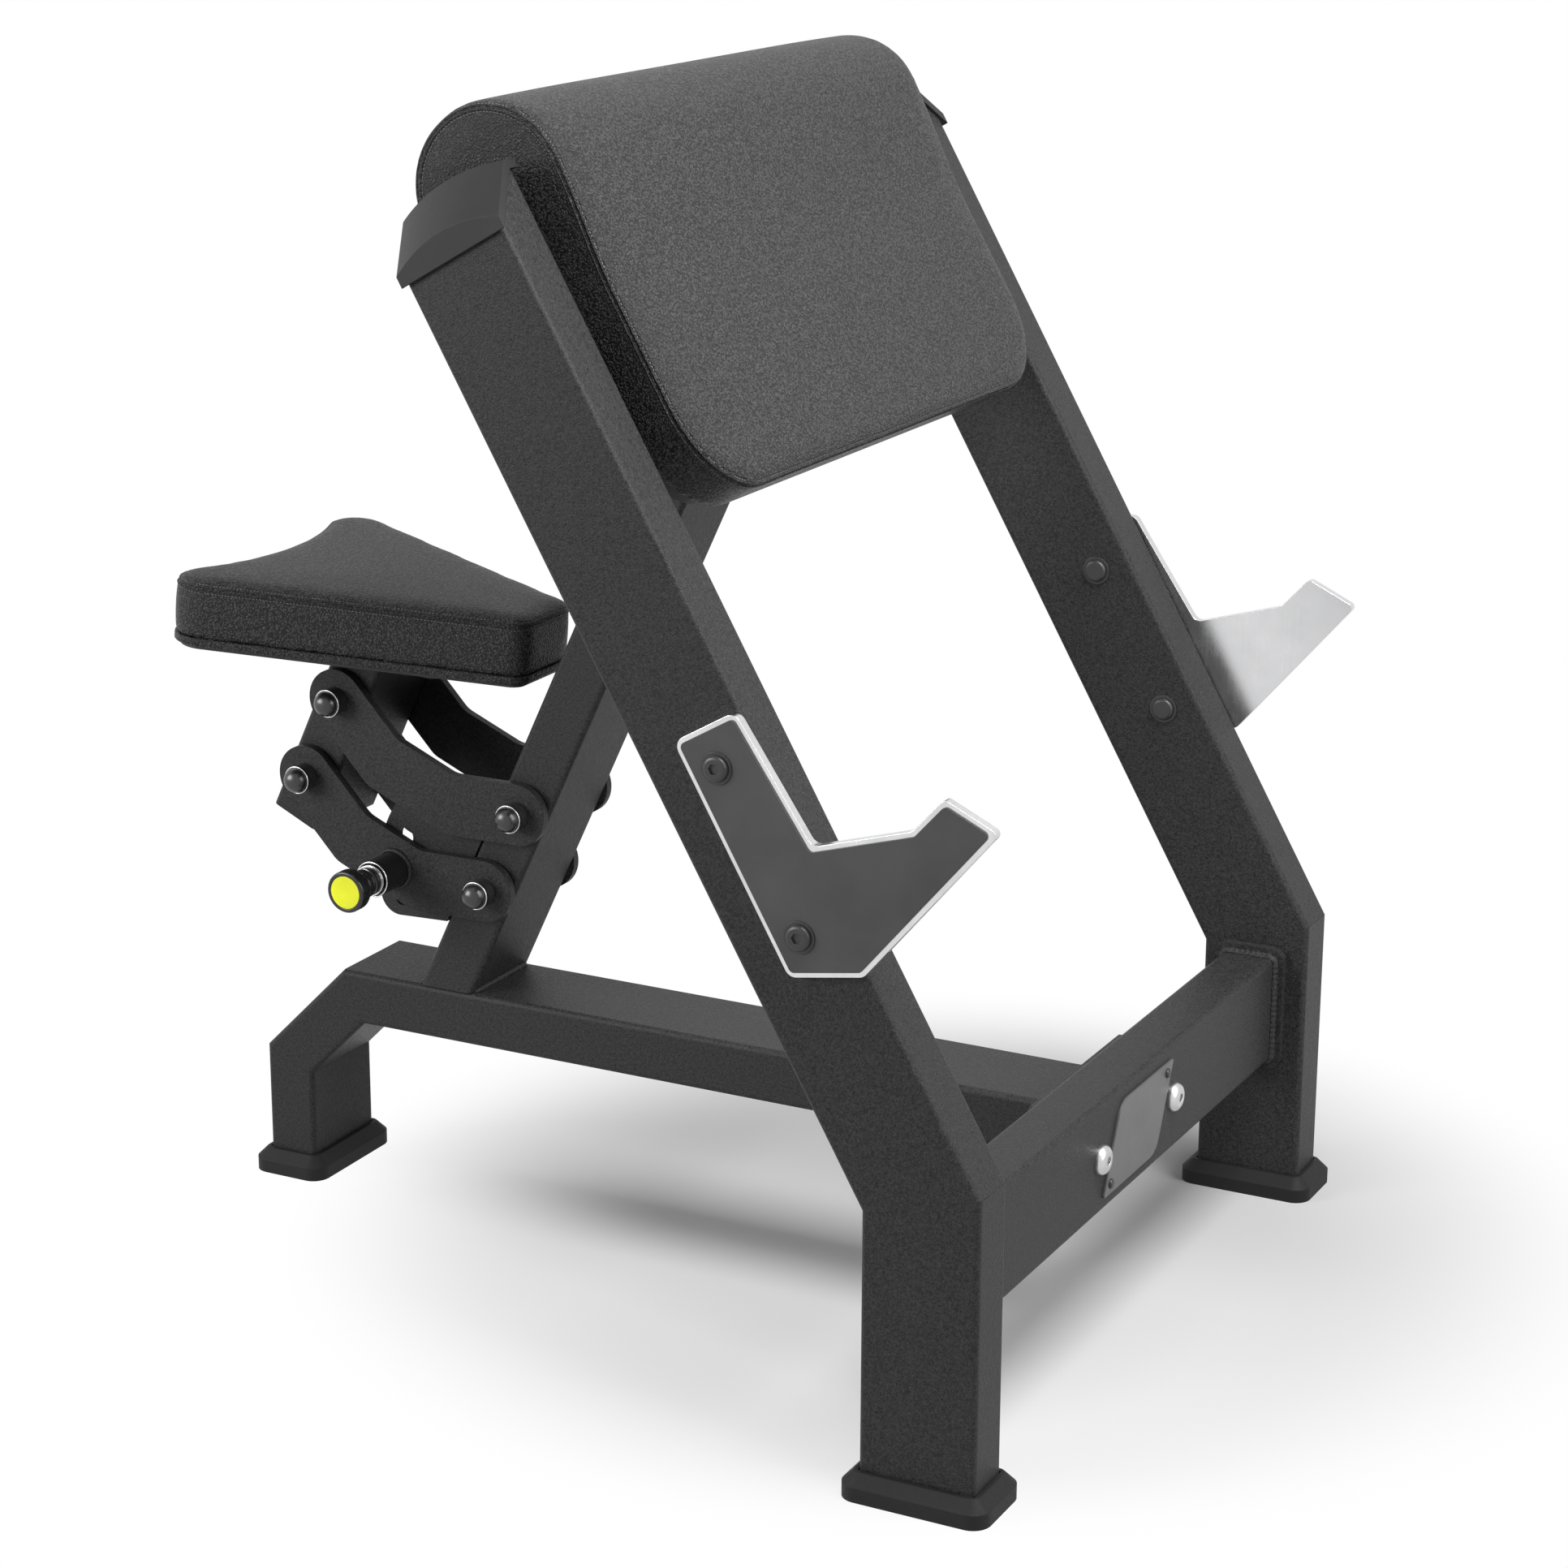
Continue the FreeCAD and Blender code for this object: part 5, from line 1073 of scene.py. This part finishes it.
class BENCH_OT_knob(bpy.types.Operator):
    """Turn the pull knob, and the weld and the lip of its housing"""

    bl_idname = "bench.knob"
    bl_label = "Pull knob"

    def execute(self, context):
        sizes = context.scene.bench_sizes
        low, high = (np.array(corner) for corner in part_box("knob_disc"))
        spot = (low + high) / 2
        spot[1] = -sizes.arm_face
        away = (0, -1, 0)
        share = np.linspace(0, 1, 25)
        ribs = np.abs(np.sin(KNOB_RIBS * np.pi * share))
        neck = np.stack([0.0131 - 0.0009 * ribs, 0.0418 + 0.0212 * share], axis=1)
        points, faces = lathe(np.vstack([KNOB_FOOT, neck, KNOB_HEAD]), spot, away, KNOB_SEGMENTS)
        knob = new_piece("pull_knob", points, faces, "locking_pin", "knob_gloss", "knob_plastic")
        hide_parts("pin_knob")
        modify(knob, "WELD", merge_threshold=0.00001)
        points, faces = lathe(HOUSING_WELD, spot, away, KNOB_SEGMENTS, True)
        new_piece("housing_weld", points, faces, "lower_arms", "powder_coat", "frame_coat")
        section = wire_section(sizes.lip_radius, sizes.lip_height, sizes.lip_wire)
        points, faces = lathe(section, spot, away, KNOB_SEGMENTS, True)
        new_piece("housing_lip", points, faces, "lower_arms", "bright_chrome", "chrome")
        return {"FINISHED"}


class BENCH_OT_stage(bpy.types.Operator):
    """Set the floor, the light and the camera"""

    bl_idname = "bench.stage"
    bl_label = "Stage"

    def execute(self, context):
        scene = context.scene
        stage = scene.bench_stage
        self.floor(scene.bench_finishes.floor, stage)
        self.sky(scene, stage.sky)
        for name, (place, target, size) in LIGHTS.items():
            self.lamp(name + "_light", place, target, size, getattr(stage, name))
        lens = bpy.data.cameras.new("camera")
        lens.lens = stage.lens
        lens.sensor_width = 36
        lens.clip_end = 100
        camera = bpy.data.objects.new("camera", lens)
        camera.location = stage.camera_place
        camera.rotation_euler = stage.camera_turn
        scene.collection.objects.link(camera)
        scene.camera = camera
        scene.view_settings.view_transform = "Standard"
        return {"FINISHED"}

    def lamp(self, name, place, target, size, power):
        """A square soft light aimed at a target."""
        data = bpy.data.lights.new(name, "AREA")
        data.size = size
        data.energy = power
        lamp = bpy.data.objects.new(name, data)
        lamp.location = place
        lamp.rotation_euler = (Vector(target) - Vector(place)).to_track_quat("-Z", "Y").to_euler()
        bpy.context.scene.collection.objects.link(lamp)

    def seen_plainly(self, tree):
        """1 for what the camera or a mirror sees, else 0."""
        rays = add_node(tree, "LightPath", {}).outputs
        return add_node(tree, "Math", {0: rays["Is Camera Ray"], 1: rays["Is Glossy Ray"]},
                        operation="MAXIMUM").outputs[0]

    def blend(self, tree, share, first, second, output):
        """Shows a share of the second surface in place of the first."""
        mix = add_node(tree, "MixShader", {0: share, 1: first.outputs[0], 2: second.outputs[0]})
        feed(tree, tree.nodes[output], {"Surface": mix.outputs[0]})

    def sky(self, scene, strength):
        """Even white light; the camera and mirrors see plain white."""
        scene.world = bpy.data.worlds.new("studio")
        scene.world.use_nodes = True
        tree = scene.world.node_tree
        even = tree.nodes["Background"]
        feed(tree, even, {"Color": WHITE, "Strength": strength})
        white = add_node(tree, "Background", {"Color": WHITE, "Strength": 1.0})
        self.blend(tree, self.seen_plainly(tree), even, white, "World Output")

    def floor(self, tint, stage):
        """A pale floor that turns plain white away from the bench for the camera."""
        material = bpy.data.materials.new("studio_floor")
        material.use_nodes = True
        tree = material.node_tree
        shader = tree.nodes["Principled BSDF"]
        feed(tree, shader, {"Base Color": (*tint, 1), "Roughness": 0.9, "Specular IOR Level": 0.0})
        white = add_node(tree, "Emission", {"Strength": 1.0})
        place = add_node(tree, "TexCoord", {}).outputs["Object"]
        away = add_node(tree, "VectorMath", {0: place, 1: stage.fade_centre}, operation="DISTANCE")
        fade = add_node(tree, "MapRange", {"From Min": stage.fade_start, "From Max": stage.fade_end,
                                           "Value": away.outputs["Value"]}, interpolation_type="SMOOTHSTEP")
        share = add_node(tree, "Math", {0: fade.outputs["Result"], 1: self.seen_plainly(tree)},
                         operation="MULTIPLY")
        self.blend(tree, share.outputs[0], shader, white, "Material Output")
        corner = np.linspace(-FLOOR_REACH, FLOOR_REACH, 3)
        x, y = np.meshgrid(corner, corner, indexing="ij")
        points = np.stack([x, y, 0 * x], axis=-1)
        floor = new_piece("studio_floor", points, grid_faces(3, 3), None, "studio_floor")


class BENCH_PT_panel(bpy.types.Panel):
    """The bench's operators and settings"""

    bl_label = "Preacher curl bench"
    bl_idname = "BENCH_PT_panel"
    bl_space_type = "VIEW_3D"
    bl_region_type = "UI"
    bl_category = "Bench"

    def draw(self, context):
        for operator in OPERATORS:
            self.layout.operator(operator.bl_idname)
        for title, group in GROUPS.items():
            box = self.layout.box()
            for name in group.__annotations__:
                box.prop(getattr(context.scene, title), name, text=name.replace("_", " ").capitalize())


OPERATORS = (BENCH_OT_finishes, BENCH_OT_arm_pad, BENCH_OT_seat, BENCH_OT_welds, BENCH_OT_pivots,
             BENCH_OT_knob, BENCH_OT_stage)
GROUPS = {"bench_sizes": BenchSizes, "bench_finishes": BenchFinishes, "bench_stage": BenchStage}
CLASSES = (*GROUPS.values(), *OPERATORS, BENCH_PT_panel)


def register():
    for item in CLASSES:
        bpy.utils.register_class(item)
    for name, group in GROUPS.items():
        setattr(bpy.types.Scene, name, PointerProperty(type=group))


def unregister():
    for name in GROUPS:
        delattr(bpy.types.Scene, name)
    for item in reversed(CLASSES):
        bpy.utils.unregister_class(item)


def main():
    register()
    bpy.ops.bench.finishes()
    bpy.ops.bench.arm_pad()
    bpy.ops.bench.seat()
    bpy.ops.bench.welds()
    bpy.ops.bench.pivots()
    bpy.ops.bench.knob()
    bpy.ops.bench.stage()


if __name__ == "__main__":
    main()
